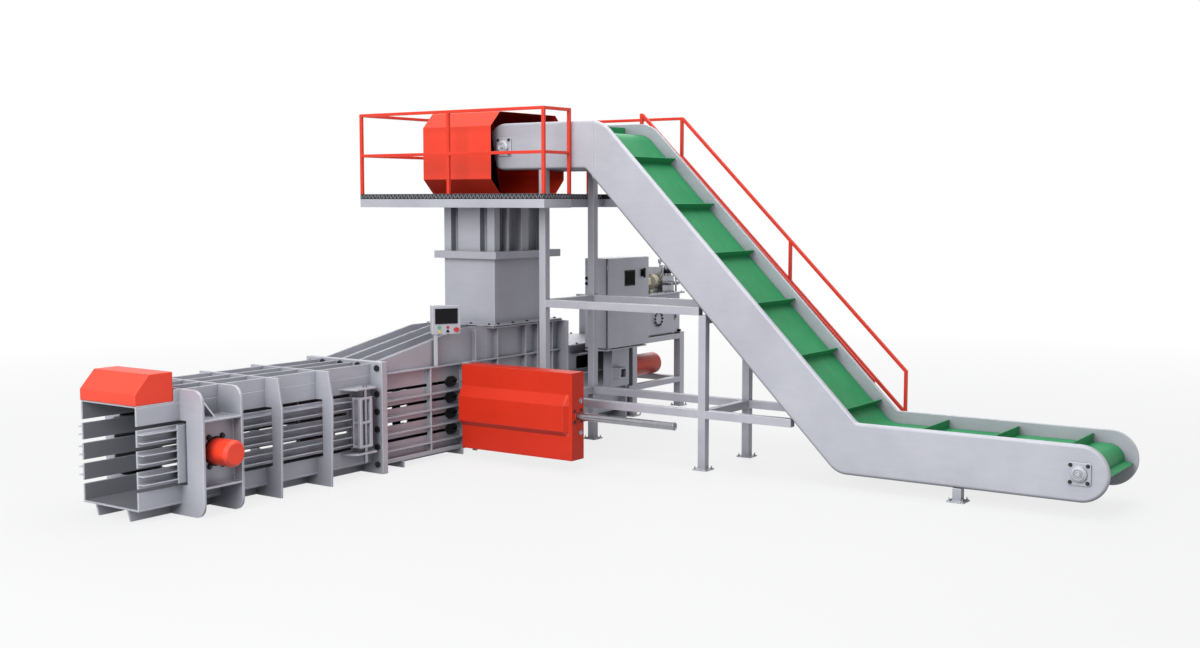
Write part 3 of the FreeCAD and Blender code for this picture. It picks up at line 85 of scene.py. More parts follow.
# %% [markdown]
# ## Writing a finish as arithmetic
# A procedural finish is a sum of small effects: a cloud of tone here, a scratch there. Wiring them by hand
# hides the idea, so a small class lets a socket take part in plain arithmetic: `1 - dust * 0.3` adds the
# Math nodes that it stands for. Every other node comes from one method, which sets the node's own choices
# first and then its sockets, from values or links.

# %% Arithmetic on sockets
class Flow:
    """A number or a colour on its way between two nodes."""

    def __init__(self, finish, socket):
        self.finish = finish
        self.socket = socket

    def reckon(self, operation, *terms):
        """The output of one Math node fed with these terms."""
        return self.finish.add("ShaderNodeMath", {"operation": operation}, dict(enumerate(terms)))

    def __add__(self, other):
        return self.reckon("ADD", self, other)

    def __radd__(self, other):
        return self.reckon("ADD", other, self)

    def __sub__(self, other):
        return self.reckon("SUBTRACT", self, other)

    def __rsub__(self, other):
        return self.reckon("SUBTRACT", other, self)

    def __mul__(self, other):
        return self.reckon("MULTIPLY", self, other)

    __rmul__ = __mul__


print("sockets can be added, taken away and multiplied")


# %% One finish and its nodes
class Finish:
    """A material that is built up node by node."""

    def __init__(self, name, **constants):
        self.material = bpy.data.materials.new(name)
        self.material.use_nodes = True
        self.tree = self.material.node_tree
        self.shader = self.tree.nodes["Principled BSDF"]
        for socket, value in constants.items():
            self.shader.inputs[socket.replace("_", " ")].default_value = value
        self.place = self.add("ShaderNodeTexCoord", {}, {}, "Object")

    def add(self, kind, settings, sockets, output=0):
        """Add a node, set its choices, then its sockets, and give back one of its outputs."""
        node = self.tree.nodes.new(kind)
        for choice, value in settings.items():
            setattr(node, choice, value)
        for socket, value in sockets.items():
            if isinstance(value, Flow):
                self.tree.links.new(value.socket, node.inputs[socket])
            else:
                node.inputs[socket].default_value = value
        return Flow(self, node.outputs[output])

    def feed(self, socket, flow):
        """Let a flow drive one socket of the shader."""
        self.tree.links.new(flow.socket, self.shader.inputs[socket])

    def cloud(self, scale, detail=3.0, rough=0.55, stretch=None):
        """Soft noise from 0 to 1, so many clouds to the metre, drawn out along an axis if asked."""
        place = self.place
        if stretch:
            place = self.add("ShaderNodeMapping", {}, {"Vector": place, "Scale": stretch})
        return self.add("ShaderNodeTexNoise", {},
                        {"Vector": place, "Scale": scale, "Detail": detail, "Roughness": rough}, "Fac")

    def ramp(self, flow, low, high):
        """Stretch a flow so that low becomes 0 and high becomes 1, and hold it there."""
        return self.add("ShaderNodeMapRange", {"clamp": True},
                        {"Value": flow, "From Min": low, "From Max": high})

    def blend(self, amount, first, second):
        """One colour passing into another."""
        return self.add("ShaderNodeMix", {"data_type": "RGBA", "clamp_factor": True},
                        {0: amount, 6: first, 7: second}, 2)

    def relief(self, height, distance, strength=1.0, under=None):
        """Raise or sink the surface by a height flow, in metres."""
        sockets = {"Height": height, "Distance": distance, "Strength": strength}
        if under:
            sockets["Normal"] = under
        return self.add("ShaderNodeBump", {}, sockets, "Normal")


def shade(red, green, blue):
    """A colour as it is read off a swatch, 0 to 255, made ready for the shader."""
    linear = [((c / 255 + 0.055) / 1.055) ** 2.4 if c > 10 else c / 255 / 12.92 for c in (red, green, blue)]
    return (*linear, 1.0)


print("a mid grey swatch is", tuple(round(v, 3) for v in shade(128, 128, 128)))

# %% [markdown]
# ## Floor, daylight and lamps
# The machine stands on a pale seamless floor under a big soft sky. The sky lights it evenly, a broad lamp
# on the photographer's left picks out the faces that look at us, a second one hangs overhead, and a weak
# one lifts the far side. The background is white only where the camera, a mirror or a glass looks at it,
# so the lamps stay at a level at which paint shows in the colour that it was mixed to.

# %% Sky
WHITE = (1.0, 1.0, 1.0, 1.0)
SKY_LEVEL = 0.40
SKY_TONE = (0.96, 0.97, 1.0, 1.0)
world = bpy.data.worlds.new("studio_sky")
world.use_nodes = True
tree = world.node_tree
tree.nodes.clear()
rays = tree.nodes.new("ShaderNodeLightPath")
seen = rays.outputs["Is Camera Ray"]
for ray in ("Is Glossy Ray", "Is Transmission Ray"):
    either_ray = tree.nodes.new("ShaderNodeMath")
    either_ray.operation = "MAXIMUM"
    tree.links.new(seen, either_ray.inputs[0])
    tree.links.new(rays.outputs[ray], either_ray.inputs[1])
    seen = either_ray.outputs[0]
either = tree.nodes.new("ShaderNodeMixShader")
tree.links.new(seen, either.inputs[0])
for place, (tone, level) in enumerate(((SKY_TONE, SKY_LEVEL), (WHITE, 1.0)), 1):
    background = tree.nodes.new("ShaderNodeBackground")
    background.inputs["Color"].default_value = tone
    background.inputs["Strength"].default_value = level
    tree.links.new(background.outputs[0], either.inputs[place])
out = tree.nodes.new("ShaderNodeOutputWorld")
tree.links.new(either.outputs[0], out.inputs["Surface"])
bpy.context.scene.world = world
print("sky at", SKY_LEVEL)

# %% Floor
FLOOR_HALF = 90.0
FLOOR_SEEN_WHITE = 0.80
FADE_FROM = 7.0
FADE_TO = 20.0


def set_out(name, shape):
    """Make an object of a shape and set it in the scene."""
    mesh_data = bpy.data.meshes.new(name)
    shape.to_mesh(mesh_data)
    shape.free()
    piece = bpy.data.objects.new(name, mesh_data)
    bpy.context.scene.collection.objects.link(piece)
    return piece


sheet = bmesh.new()
bmesh.ops.create_grid(sheet, x_segments=1, y_segments=1, size=FLOOR_HALF)
floor = set_out("studio_floor", sheet)
paper = Finish("studio_paper", Base_Color=shade(180, 181, 185), Roughness=0.6)
glow = paper.add("ShaderNodeEmission", {}, {"Color": WHITE, "Strength": 1.0})
light_path = paper.add("ShaderNodeLightPath", {}, {}, "Is Camera Ray")
mirror_ray = Flow(paper, light_path.socket.node.outputs["Is Glossy Ray"])
glass_ray = Flow(paper, light_path.socket.node.outputs["Is Transmission Ray"])
mirrored = light_path.reckon("MAXIMUM", mirror_ray, glass_ray)
looked_at = light_path.reckon("MAXIMUM", light_path, mirrored)
spread = paper.add("ShaderNodeVectorMath", {"operation": "LENGTH"}, {0: paper.place}, "Value")
far_off = paper.ramp(spread, FADE_FROM, FADE_TO)
keep_shadow = looked_at * (far_off * (1.0 - FLOOR_SEEN_WHITE) + FLOOR_SEEN_WHITE)
mixed = paper.add("ShaderNodeMixShader", {}, {0: keep_shadow})
paper.tree.links.new(paper.shader.outputs[0], mixed.socket.node.inputs[1])
paper.tree.links.new(glow.socket, mixed.socket.node.inputs[2])
paper.tree.links.new(mixed.socket, paper.tree.nodes["Material Output"].inputs["Surface"])
floor.data.materials.append(paper.material)
print("floor is", 2 * FLOOR_HALF, "m wide")

# %% Lamps
HEART = Vector((0.0, 0.0, 1.5))
LAMPS = {"window_left": ((-17.0, -1.0, 9.0), 10.0, 2700.0), "ceiling": ((0.0, 0.0, 14.0), 12.0, 1300.0),
         "far_side": ((12.0, 9.0, 9.0), 10.0, 700.0)}
for name, (spot, size, power) in LAMPS.items():
    lamp = bpy.data.lights.new(name, "AREA")
    lamp.size = size
    lamp.energy = power
    holder = bpy.data.objects.new(name, lamp)
    holder.location = spot
    holder.rotation_euler = (HEART - Vector(spot)).to_track_quat("-Z", "Y").to_euler()
    holder.visible_camera = False
    bpy.context.scene.collection.objects.link(holder)
print(len(LAMPS), "soft lamps")

# %% [markdown]
# ## Paint on sheet steel
# Most of the machine is folded and welded plate under a light grey enamel with a little metal in it. Up
# close such paint is never even: the spray lays on in clouds, grinding marks telegraph through along the
# plate, and a fine orange-peel catches the light. The edges carry a painted highlight, and sheltered places
# and undersides a painted shade. The clouds, streaks and peel are worked from the place in space, so the
# pattern runs on across welded plates as it does on the real machine.

# %% Edges that catch the light
EDGE_RADIUS = 0.012
EDGE_SAMPLES = 4
EDGE_HIGHLIGHT_RANGE = (0.02, 0.22)


def edge_normal_and_highlight(finish, radius=EDGE_RADIUS):
    """A rounded normal for the plate edges, and a mask that is 1 on them and 0 on the flats, for a painted
    highlight.
    """
    rounded = finish.add("ShaderNodeBevel", {"samples": EDGE_SAMPLES}, {"Radius": radius})
    flat = finish.add("ShaderNodeNewGeometry", {}, {}, "True Normal")
    same = finish.add("ShaderNodeVectorMath", {"operation": "DOT_PRODUCT"}, {0: rounded, 1: flat}, "Value")
    return rounded, finish.ramp(1.0 - same, *EDGE_HIGHLIGHT_RANGE)


print("edges are rounded over", EDGE_RADIUS * 1000, "mm")

# %% [markdown]
# Inside the channel the paint is darkened to a steel grey: painted shade for the deep channel. The place of
# that shade is a plain box in space, a little larger than the clear width and height, so each wall plate
# turns from shaded to plain paint halfway through its thickness. It ends with the press, so the cylinder
# behind keeps its plain paint.

# %% Painted shade inside the channel
CHANNEL_MIDDLE = (3.60075, 0.681)
CHANNEL_REACH = (0.444, 0.533)
HALF_A_PLATE = 0.008
PRESS_END = 1.95


def channel_shade_mask(finish):
    """A mask that is 1 on the inner faces of the bale channel and the press, where shade is painted."""
    mask = 1.0
    for axis, middle, reach in zip("YZ", CHANNEL_MIDDLE, CHANNEL_REACH):
        away = finish.add("ShaderNodeSeparateXYZ", {}, {0: finish.place}, axis) - middle
        mask = mask * (1.0 - finish.ramp(away.reckon("ABSOLUTE", away), reach, reach + HALF_A_PLATE))
    along = finish.add("ShaderNodeSeparateXYZ", {}, {0: finish.place}, "X")
    return mask * (1.0 - finish.ramp(along, PRESS_END, PRESS_END + HALF_A_PLATE))


print("shade is painted inside the channel over", 2 * CHANNEL_REACH[0], "by", 2 * CHANNEL_REACH[1], "m")

# %% Enamel
# Reach and ramp of the painted shade in sheltered places, and the ramp of the painted shade on undersides.
SHELTER_REACH = 0.55
SHELTERED = (0.1, 0.68)
LOOKING_DOWN = (0.02, 0.45)
# The grey of the painted shade inside the channel.
CHANNEL_SHADE_GREY = shade(124, 125, 131)


def enamel(name, light, dark, edge, corner, shade_amount, metal, gloss, grain, **constants):
    """Sprayed paint: clouds of tone, fine streaks along the plate, orange peel, painted edge highlights and
    painted shade.
    """
    paint = Finish(name, **constants)
    clouds = paint.ramp(paint.cloud(0.9, 4.0, 0.6), 0.3, 0.7)
    streaks = paint.cloud(26.0, 2.0, 0.5, stretch=(0.12, 0.12, 1.0))
    specks = paint.cloud(240.0, 1.0)
    tone = paint.ramp(clouds * 0.55 + streaks * 0.3 + specks * 0.15, 0.2, 0.8)
    rounded, edges = edge_normal_and_highlight(paint)
    # Painted shade: the colour darkens towards the shade colour where the plate is sheltered and where it
    # looks down.
    sheltered = paint.add("ShaderNodeAmbientOcclusion", {"samples": 4}, {"Distance": SHELTER_REACH}, "AO")
    upward = paint.add("ShaderNodeSeparateXYZ", {}, {0: rounded}, "Z")
    underside = paint.ramp(0.0 - upward, *LOOKING_DOWN)
    painted_shade = underside.reckon("MAXIMUM", 1.0 - paint.ramp(sheltered, *SHELTERED), underside * 0.95)
    body = paint.blend(painted_shade * shade_amount, paint.blend(tone, dark, light), corner)
    # Painted shade: the inside of the channel turns a dark steel grey.
    body = paint.blend(channel_shade_mask(paint) * 0.9, body, CHANNEL_SHADE_GREY)
    # Painted highlight: the edge colour is laid over the rounded edges.
    paint.feed("Base Color", paint.blend(edges * 0.85, body, edge))
    paint.feed("Metallic", metal - specks * 0.06)
    paint.feed("Roughness", gloss + streaks * 0.10 + clouds * 0.04 - 0.07)
    peel = paint.relief(specks * 0.6 + paint.cloud(70.0, 1.0) * 0.4, grain, 0.35, rounded)
    paint.feed("Normal", peel)
    return paint


# After the two tones of paint come the colour of the painted edge highlight and the colour of the painted
# shade.
grey = enamel("grey_enamel", shade(182, 183, 191), shade(166, 167, 176), shade(240, 241, 247),
              shade(62, 64, 71), 0.64, 0.22, 0.46, 0.0004)
print("grey enamel uses", len(grey.tree.nodes), "nodes")

# %% Orange enamel and rail paint
orange = enamel("orange_enamel", shade(235, 63, 33), shade(226, 55, 26), shade(250, 112, 88),
                shade(104, 6, 2), 0.6, 0.04, 0.46, 0.0004, Coat_Weight=0.12, Coat_Roughness=0.35)
# A darker copy of the orange enamel, for the tying cover and its gland: painted shade.
shaded_orange = enamel("shaded_orange_enamel", shade(206, 43, 12), shade(196, 38, 9), shade(236, 84, 54),
                     shade(112, 14, 6), 0.6, 0.04, 0.46, 0.0004, Specular_IOR_Level=0.35)
rail = enamel("rail_enamel", shade(228, 62, 40), shade(216, 52, 32), shade(242, 96, 72),
              shade(132, 22, 10), 0.4, 0.04, 0.40, 0.0003, Coat_Weight=0.06, Coat_Roughness=0.3,
              Specular_IOR_Level=0.3)
cream = enamel("cream_enamel", shade(222, 216, 190), shade(208, 202, 176), shade(236, 232, 214),
               shade(120, 114, 92), 0.7, 0.05, 0.38, 0.0003)
print("orange, rail and cream enamel")

# %% [markdown]
# ## Bare, blackened and moulded surfaces
# Rods are turned and ground to a fine grain. Bolts and wire guides are blackened in hot oil: nearly
# black, a little patchy and faintly glossy. The belt is a smooth rubber, scuffed paler in
# patches. Each is its own sum of clouds and streaks, kept small so that it reads as the real surface and
# not as a pattern.

# %% Turned steel
def turned_steel(name, light, dark):
    """Ground bar: a fine grain of tone and gloss over broad clouds."""
    bar = Finish(name)
    grain = bar.cloud(380.0, 1.0, 0.5)
    broad = bar.cloud(6.0, 3.0)
    bar.feed("Base Color", bar.blend(bar.ramp(grain * 0.5 + broad * 0.5, 0.3, 0.7), dark, light))
    bar.feed("Metallic", 0.9 + broad * 0.1)
    bar.feed("Roughness", 0.2 + grain * 0.14)
    bar.feed("Normal", bar.relief(grain, 0.0001, 0.3, edge_normal_and_highlight(bar, 0.003)[0]))
    return bar


steel = turned_steel("turned_steel", shade(168, 169, 174), shade(136, 137, 143))
print("turned steel uses", len(steel.tree.nodes), "nodes")

# %% Blackened steel and black plastic
def dark_skin(name, light, dark, metal, gloss, **constants):
    """A near-black skin, patchy in tone and gloss, with a painted highlight on its edges."""
    skin = Finish(name, **constants)
    patches = skin.ramp(skin.cloud(18.0, 4.0), 0.3, 0.7)
    grit = skin.cloud(420.0, 2.0)
    rounded, edges = edge_normal_and_highlight(skin, 0.003)
    body = skin.blend(patches * 0.7 + grit * 0.3, dark, light)
    # Painted highlight: the edges are lightened towards a mid grey.
    skin.feed("Base Color", skin.blend(edges * 0.35, body, shade(96, 96, 98)))
    skin.feed("Metallic", metal + patches * 0.1)
    skin.feed("Roughness", gloss + grit * 0.12)
    skin.feed("Normal", skin.relief(grit, 0.0002, 0.4, rounded))
    return skin


black = dark_skin("blackened_steel", shade(46, 46, 48), shade(30, 30, 32), 0.4, 0.34)
plastic = dark_skin("black_plastic", shade(24, 24, 26), shade(15, 15, 17), 0.0, 0.42, Specular_IOR_Level=0.12)
deck_paint = dark_skin("deck_plate", shade(40, 42, 47), shade(28, 30, 35), 0.15, 0.42)
# The lozenges are painted light grey: a painted highlight on the raised tread of the black plate.
lozenge_highlight_paint = dark_skin("deck_lozenge_highlights", shade(150, 152, 160), shade(122, 124, 132), 0.2, 0.34)
seal_and_gap_shade = dark_skin("seal_and_gap_shade", shade(106, 107, 112), shade(88, 89, 94), 0.0, 0.5)
print("five dark finishes")

# %% Belt rubber
belt = Finish("green_belt", Specular_IOR_Level=0.35)
cover = belt.ramp(belt.cloud(1.3, 4.0, 0.6), 0.3, 0.7)
fine = belt.cloud(160.0, 2.0)
scuffs = belt.ramp(belt.cloud(9.0, 4.0, 0.7, stretch=(1.0, 0.2, 0.2)), 0.52, 0.74)
belt_body = belt.blend(cover * 0.7 + fine * 0.3, shade(22, 124, 72), shade(34, 146, 88))
belt.feed("Base Color", belt.blend(scuffs * 0.16, belt_body, shade(96, 176, 136)))
belt.feed("Roughness", 0.5 + fine * 0.12 - cover * 0.06)
belt.feed("Normal", belt.relief(fine, 0.0004, 0.35, edge_normal_and_highlight(belt, 0.004)[0]))
print("belt rubber uses", len(belt.tree.nodes), "nodes")

# %% Buttons and glass
def moulded(name, light, dark, gloss=0.28, **constants):
    """A small moulded cap, faintly mottled."""
    cap = Finish(name, **constants)
    mottle = cap.cloud(90.0, 3.0)
    cap.feed("Base Color", cap.blend(mottle, dark, light))
    cap.feed("Roughness", gloss + mottle * 0.1)
    cap.feed("Normal", cap.relief(cap.cloud(900.0, 1.0), 0.00005, 0.3, edge_normal_and_highlight(cap, 0.0015)[0]))
    return cap


green_cap = moulded("green_cap", shade(64, 186, 112), shade(40, 160, 88))
yellow_cap = moulded("yellow_cap", shade(226, 214, 92), shade(206, 190, 64))
red_cap = moulded("red_cap", shade(206, 44, 36), shade(182, 30, 24))
glass = moulded("screen_glass", shade(6, 6, 8), shade(3, 3, 4), 0.2, Specular_IOR_Level=0.03)
print("four moulded finishes")

# %% [markdown]
# ## Dressing the machine
# Each finish goes to the parts that wear it, and grey enamel to all the rest. A part of the frame keeps its
# shape and only swaps the material in its slots, so it still rides with its own body.

# %% Which part wears what
WEARS = {
    orange: "discharge_hood head_hood squeeze_cylinders main_cylinder",
    shaded_orange: "tying_cover",
    rail: "guard_rails stair_handrails",
    cream: "pump_motor drive_motor",
    steel: "hinge_shafts needle_carriage piston_rod head_pulley tail_pulley valve_block",
    black: "flange_bolts wire_guides",
    plastic: "isolator_knob black_button",
    deck_paint: "platform_deck",
    belt: "conveyor_belt",
    green_cap: "green_button",
    yellow_cap: "yellow_button",
    red_cap: "red_button emergency_stop",
    glass: "operator_screen",
}
special = " ".join(WEARS.values()).split()
WEARS[grey] = " ".join(name for name in NODES if name not in special)
dressed = []
for finish, names in WEARS.items():
    for name in names.split():
        slots = NODES[name].data.materials
        slots.clear()
        slots.append(finish.material)
        dressed.append(name)
print("dressed", len(dressed), "of", len(NODES), "still bare:", sorted(set(NODES) - set(dressed)))

# %% [markdown]
# ## A bench for small parts
# Bolts, bearings and covers are built the way a workshop builds them: a block is sawn and its edges are
# broken, a disc is turned on a lathe, a bolt head is a hexagon with a chamfer. Each helper below makes one
# such part about its own axis, lays it where it belongs and adds it to the piece that it is part of.
# Places are given in millimetres from the discharge end of the channel floor, as on the drawing.

# %% Places and turns
DATUM = Vector((-5344.0, 3600.75, 0.0))
UP = (0, 0, 1)
NEAR_SIDE = (0, -1, 0)


def at(x, y, z):
    """A place on the drawing, in the metres of the frame."""
    return (Vector((x, y, z)) + DATUM) / 1000.0


def lay(axis):
    """The turn that brings the Z axis onto another direction."""
    return Vector(axis).to_track_quat("Z", "Y").to_matrix().to_4x4()


print("the channel mouth is at", tuple(round(v, 3) for v in at(0, 0, 0)))


def add_part(shape, part, spot, axis=UP):
    """Close a part's seams, turn its faces outwards, lay it in place and add it to a shape."""
    bmesh.ops.remove_doubles(part, verts=part.verts[:], dist=1e-6)
    bmesh.ops.recalc_face_normals(part, faces=part.faces[:])
    bmesh.ops.transform(part, matrix=Matrix.Translation(spot) @ lay(axis), verts=part.verts[:])
    scrap = bpy.data.meshes.new("scrap")
    part.to_mesh(scrap)
    part.free()
    shape.from_mesh(scrap)
    bpy.data.meshes.remove(scrap)


def hand_over(name, shape, finish, body="frame"):
    """Make a piece of a shape, dress it and let it ride."""
    piece = set_out(name, shape)
    piece.data.materials.append(finish.material)
    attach(piece, body)
    print(name, "has", len(piece.data.polygons), "faces")
    return piece


# %% Sawing, and rounding of edges
RIDGE = math.radians(20.0)


def saw(part, size, middle=(0, 0, 0)):
    """Saw a block of a size about a middle, in metres."""
    bmesh.ops.create_cube(part, size=1.0, matrix=Matrix.Translation(middle) @ Matrix.Diagonal((*size, 1.0)))


def round_off(part, edges, width, steps=2, hold=False):
    """Round some edges. With hold, the width gives way where two of them would run into each other."""
    bmesh.ops.bevel(part, geom=edges, offset=width, affect="EDGES", segments=steps, profile=0.5, material=-1,
                    clamp_overlap=hold)


def edges_along(part, axis, least):
    """The edges that run further than this along X, Y or Z, given as 0, 1 or 2."""
    return [e for e in part.edges if abs(e.verts[0].co[axis] - e.verts[1].co[axis]) > least]


def edges_above(part, height):
    """The edges that lie wholly above a height."""
    return [e for e in part.edges if all(v.co.z > height for v in e.verts)]


def ridges(part):
    """The edges where two faces meet at a real angle."""
    return [e for e in part.edges if e.is_manifold and e.calc_face_angle() > RIDGE]


print("an edge counts as a ridge from", round(math.degrees(RIDGE)), "degrees")


# %% Blocks, turned discs, hexagon bolts
def slab(shape, low, high, soft=0.004, steps=2):
    """A block between two corners, in metres, with its edges broken."""
    part = bmesh.new()
    saw(part, high - low)
    round_off(part, part.edges[:], soft, steps, hold=True)
    add_part(shape, part, (low + high) / 2)


def turned(shape, outline, spot, axis, steps=32):
    """A disc or knob turned from an outline of (radius, height) points, in metres."""
    part = bmesh.new()
    points = [part.verts.new((radius, 0.0, height)) for radius, height in outline]
    edges = [part.edges.new(pair) for pair in zip(points, points[1:])]
    bmesh.ops.spin(part, geom=points + edges, cent=(0, 0, 0), axis=UP, dvec=(0, 0, 0),
                   angle=math.tau, steps=steps, use_merge=True, use_duplicate=False)
    add_part(shape, part, spot, axis)


def disc(radius, low, high, soft):
    """The outline of a plain disc with both rims rounded."""
    cut = soft * 0.3
    return [(0.0, low), (radius - soft, low), (radius - cut, low + cut), (radius, low + soft),
            (radius, high - soft), (radius - cut, high - cut), (radius - soft, high), (0.0, high)]


def hex_bolt(shape, spot, axis, across):
    """A hexagon head with a chamfer, on its washer."""
    part = bmesh.new()
    bmesh.ops.create_cone(part, cap_ends=True, segments=6, radius1=across * 0.58, radius2=across * 0.58,
                          depth=across * 0.5, matrix=Matrix.Translation((0, 0, across * 0.35)))
    round_off(part, edges_above(part, across * 0.5), across * 0.08, 1)
    add_part(shape, part, spot, axis)
    turned(shape, disc(across * 0.75, 0.0, across * 0.1, across * 0.02), spot, axis, 16)


def bolt_circle(shape, centre, axis, count, radius, across, start=0.0):
    """Bolts set evenly round a centre."""
    for index in range(count):
        angle = start + math.tau * index / count
        reach = Vector((radius * math.cos(angle), radius * math.sin(angle), 0.0))
        hex_bolt(shape, centre + (lay(axis) @ reach), axis, across)


print("a bench with a lathe and a box of bolts")

# %% Which body a part of the frame has
BODY_OF = {node: body for body, members in frame["record"]["behaviour"]["bodies"].items() for node in members}


# %% Breaking the edges of a big part
def softened(node, width, reshape=None):
    """A copy of a part with its sharp edges rounded, standing for the part itself."""
    shape = bmesh.new()
    shape.from_mesh(NODES[node].data)
    bmesh.ops.remove_doubles(shape, verts=shape.verts[:], dist=1e-5)
    bmesh.ops.dissolve_limit(shape, angle_limit=math.radians(1.0), verts=shape.verts[:],
                             edges=shape.edges[:])
    if reshape:
        reshape(shape)
    round_off(shape, ridges(shape), width, hold=True)
    finish = next(f for f, names in WEARS.items() if node in names.split())
    piece = hand_over(node + "_soft", shape, finish, BODY_OF[node])
    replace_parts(piece, node)


print("a softened copy stands for its part")

# %% [markdown]
# ## Conveyor and covers
# The side walls of the conveyor are thick folded plates whose edges are rolled over, so a white line of
# light runs along the whole climb. The orange hoods and the tying cover are folded from sheet. Their
# corners are bends, never knife edges. These parts are copied from the frame and their ridges are bevelled.

# %% The swell of the tying cover stops short of its end
COVER_END = -2463.0
SWELL_CUTS = (85.0, 45.0)
SWELL_SIDE = 4875.0
SWELL_HEIGHT = 0.070


def stop_the_swell(shape):
    """Cut the cover twice near its end and push the proud part there back by the height of the swell."""
    for inset in SWELL_CUTS:
        bmesh.ops.bisect_plane(shape, geom=shape.verts[:] + shape.edges[:] + shape.faces[:], dist=1e-6,
                               plane_co=at(0, COVER_END + inset, 0), plane_no=(0, 1, 0))
    halfway = at(SWELL_SIDE, COVER_END + SWELL_CUTS[1] + 1.0, 0)
    for corner in shape.verts:
        if corner.co.y < halfway.y and corner.co.x < halfway.x:
            corner.co.x += SWELL_HEIGHT


print("the swell ends", SWELL_CUTS[1], "mm before the cover does")

# %% The conveyor walls are rounded over on their outer side
CONVEYOR_MIDDLE = 6510.0
RIM_WIDTH = 0.037
RIM_STEPS = 5


def round_outer_rim(shape):
    """Roll the rim of a conveyor wall over on the side that faces away from the belt."""
    places = [corner.co.x for corner in shape.verts]
    outer = min(places) if max(places) < at(CONVEYOR_MIDDLE, 0, 0).x else max(places)
    rim = [e for e in ridges(shape) if all(abs(v.co.x - outer) < 1e-4 for v in e.verts)]
    round_off(shape, rim, RIM_WIDTH, RIM_STEPS, hold=True)


print("the rims are rolled over", RIM_WIDTH, "m")

# %% Rolled edges
RESHAPED = {"tying_cover": stop_the_swell, "conveyor_wall_front": round_outer_rim,
            "conveyor_wall_back": round_outer_rim}
ROLLED = {
    0.006: "conveyor_wall_front conveyor_wall_back",
    0.008: "discharge_hood head_hood tying_cover oil_tank hopper_lower",
    0.005: "operator_panel control_cabinet cabinet_door",
}
for width, nodes in ROLLED.items():
    for node in nodes.split():
        softened(node, width, RESHAPED.get(node))

# %% [markdown]
# ## Flange bearings
# Each pulley shaft turns in a cast flange unit: a square plate with round corners, a raised ring round the
# bearing, an inner ring that grips the shaft, and four black bolts. The plate is a block with its upright
# corners rounded. The housing and the rings are turned in one go, as a casting is machined.

# %% Bearing housings
PLATE_HALF = 0.125
PLATE_THICK = 0.020
PLATE_CORNER = 0.030
PLATE_RIM = 0.004
BOLT_RADIUS = 0.092 * math.sqrt(2.0)
HOUSING = [(0.0, 0.0), (0.088, 0.0), (0.088, 0.024), (0.083, 0.030), (0.070, 0.033), (0.066, 0.040),
           (0.060, 0.042), (0.052, 0.042), (0.050, 0.034), (0.044, 0.034), (0.042, 0.044), (0.036, 0.046),
           (0.034, 0.040), (0.0, 0.040)]
SHAFT_END = disc(0.026, 0.0, 0.050, 0.004)
PULLEYS = ((-630.0, 4060.0), (-8349.0, 469.5))
WALL_FACES = ((5910.0, -1), (7110.0, 1))
housings = bmesh.new()
bearing_bolts = bmesh.new()
for y, z in PULLEYS:
    for x, way in WALL_FACES:
        centre = at(x, y, z)
        axis = (way, 0, 0)
        plate = bmesh.new()
        saw(plate, (2 * PLATE_HALF, 2 * PLATE_HALF, PLATE_THICK), (0, 0, PLATE_THICK / 2))
        round_off(plate, edges_along(plate, 2, PLATE_THICK / 2), PLATE_CORNER, 5)
        round_off(plate, edges_above(plate, PLATE_THICK / 2), PLATE_RIM)
        add_part(housings, plate, centre, axis)
        lifted = centre + Vector(axis) * PLATE_THICK
        turned(housings, HOUSING, lifted, axis, 40)
        turned(housings, SHAFT_END, lifted, axis, 24)
        bolt_circle(bearing_bolts, lifted, axis, 4, BOLT_RADIUS, across=0.030, start=math.pi / 4)
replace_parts(hand_over("bearing_housings", housings, grey, "frame"), "conveyor_bearings")
hand_over("bearing_bolts", bearing_bolts, black)

# %% [markdown]
# ## Seams on the conveyor walls
# The climb is welded to the head section where the wall bends, and the seam is left as a low bead. It is
# a thin ribbed bar: a hexagonal rod, cut across many times, with every other cut drawn in a little.

# %% Weld beads
WELD = 0.006
RIPPLE = 0.016
DRAWN_IN = 0.8


def bead(shape, start, end):
    """A low weld from one place to another, its ripples drawn in at every other cut."""
    part = bmesh.new()
    reach = end - start
    bmesh.ops.create_cone(part, cap_ends=True, segments=6, radius1=WELD, radius2=WELD, depth=reach.length,
                          matrix=Matrix.Translation((0, 0, reach.length / 2)))
    runs = edges_along(part, 2, reach.length / 2)
    cuts = int(reach.length / RIPPLE)
    bmesh.ops.subdivide_edges(part, edges=runs, cuts=cuts, use_grid_fill=True)
    step = reach.length / (cuts + 1)
    for corner in part.verts:
        if round(corner.co.z / step) % 2:
            corner.co.x *= DRAWN_IN
            corner.co.y *= DRAWN_IN
    add_part(shape, part, start, reach)


seams = bmesh.new()
for x in (5909.0, 7111.0):
    bead(seams, at(x, -2084, 3624), at(x, -2084, 4362))
hand_over("conveyor_seams", seams, grey)

# %% [markdown]
# ## Cylinders between the yokes
# Each squeeze cylinder is bolted to its seat plate from outside: six black bolts on a circle round the
# barrel, and a dark packing ring where the barrel leaves the plate. The bolts are set out with a pair of
# compasses, round the cylinder's own axis, and the far side gets the same set.

# %% Cylinder bolts and packing
SEAT = 690.0
BARREL = (865.0, 677.0)
PACKING = [(0.1455, 0.0), (0.160, 0.0), (0.160, 0.008), (0.157, 0.012), (0.149, 0.012), (0.1455, 0.008),
           (0.1455, 0.0)]
squeeze_bolts = bmesh.new()
packing = bmesh.new()
for way in (-1, 1):
    centre = at(BARREL[0], way * SEAT, BARREL[1])
    bolt_circle(squeeze_bolts, centre, (0, way, 0), 6, radius=0.181, across=0.044)
    turned(packing, PACKING, centre, (0, way, 0), 40)
hand_over("cylinder_bolts", squeeze_bolts, black)
hand_over("cylinder_packing", packing, plastic)

# %% [markdown]
# ## Tying unit
# The end of the orange cover carries two dished plugs over the guide rods, and the gland of the draw rod
# with its four screws. The rod itself ends in a turned nut with a recess for a key. Plugs, gland and nut
# are all lathe work.

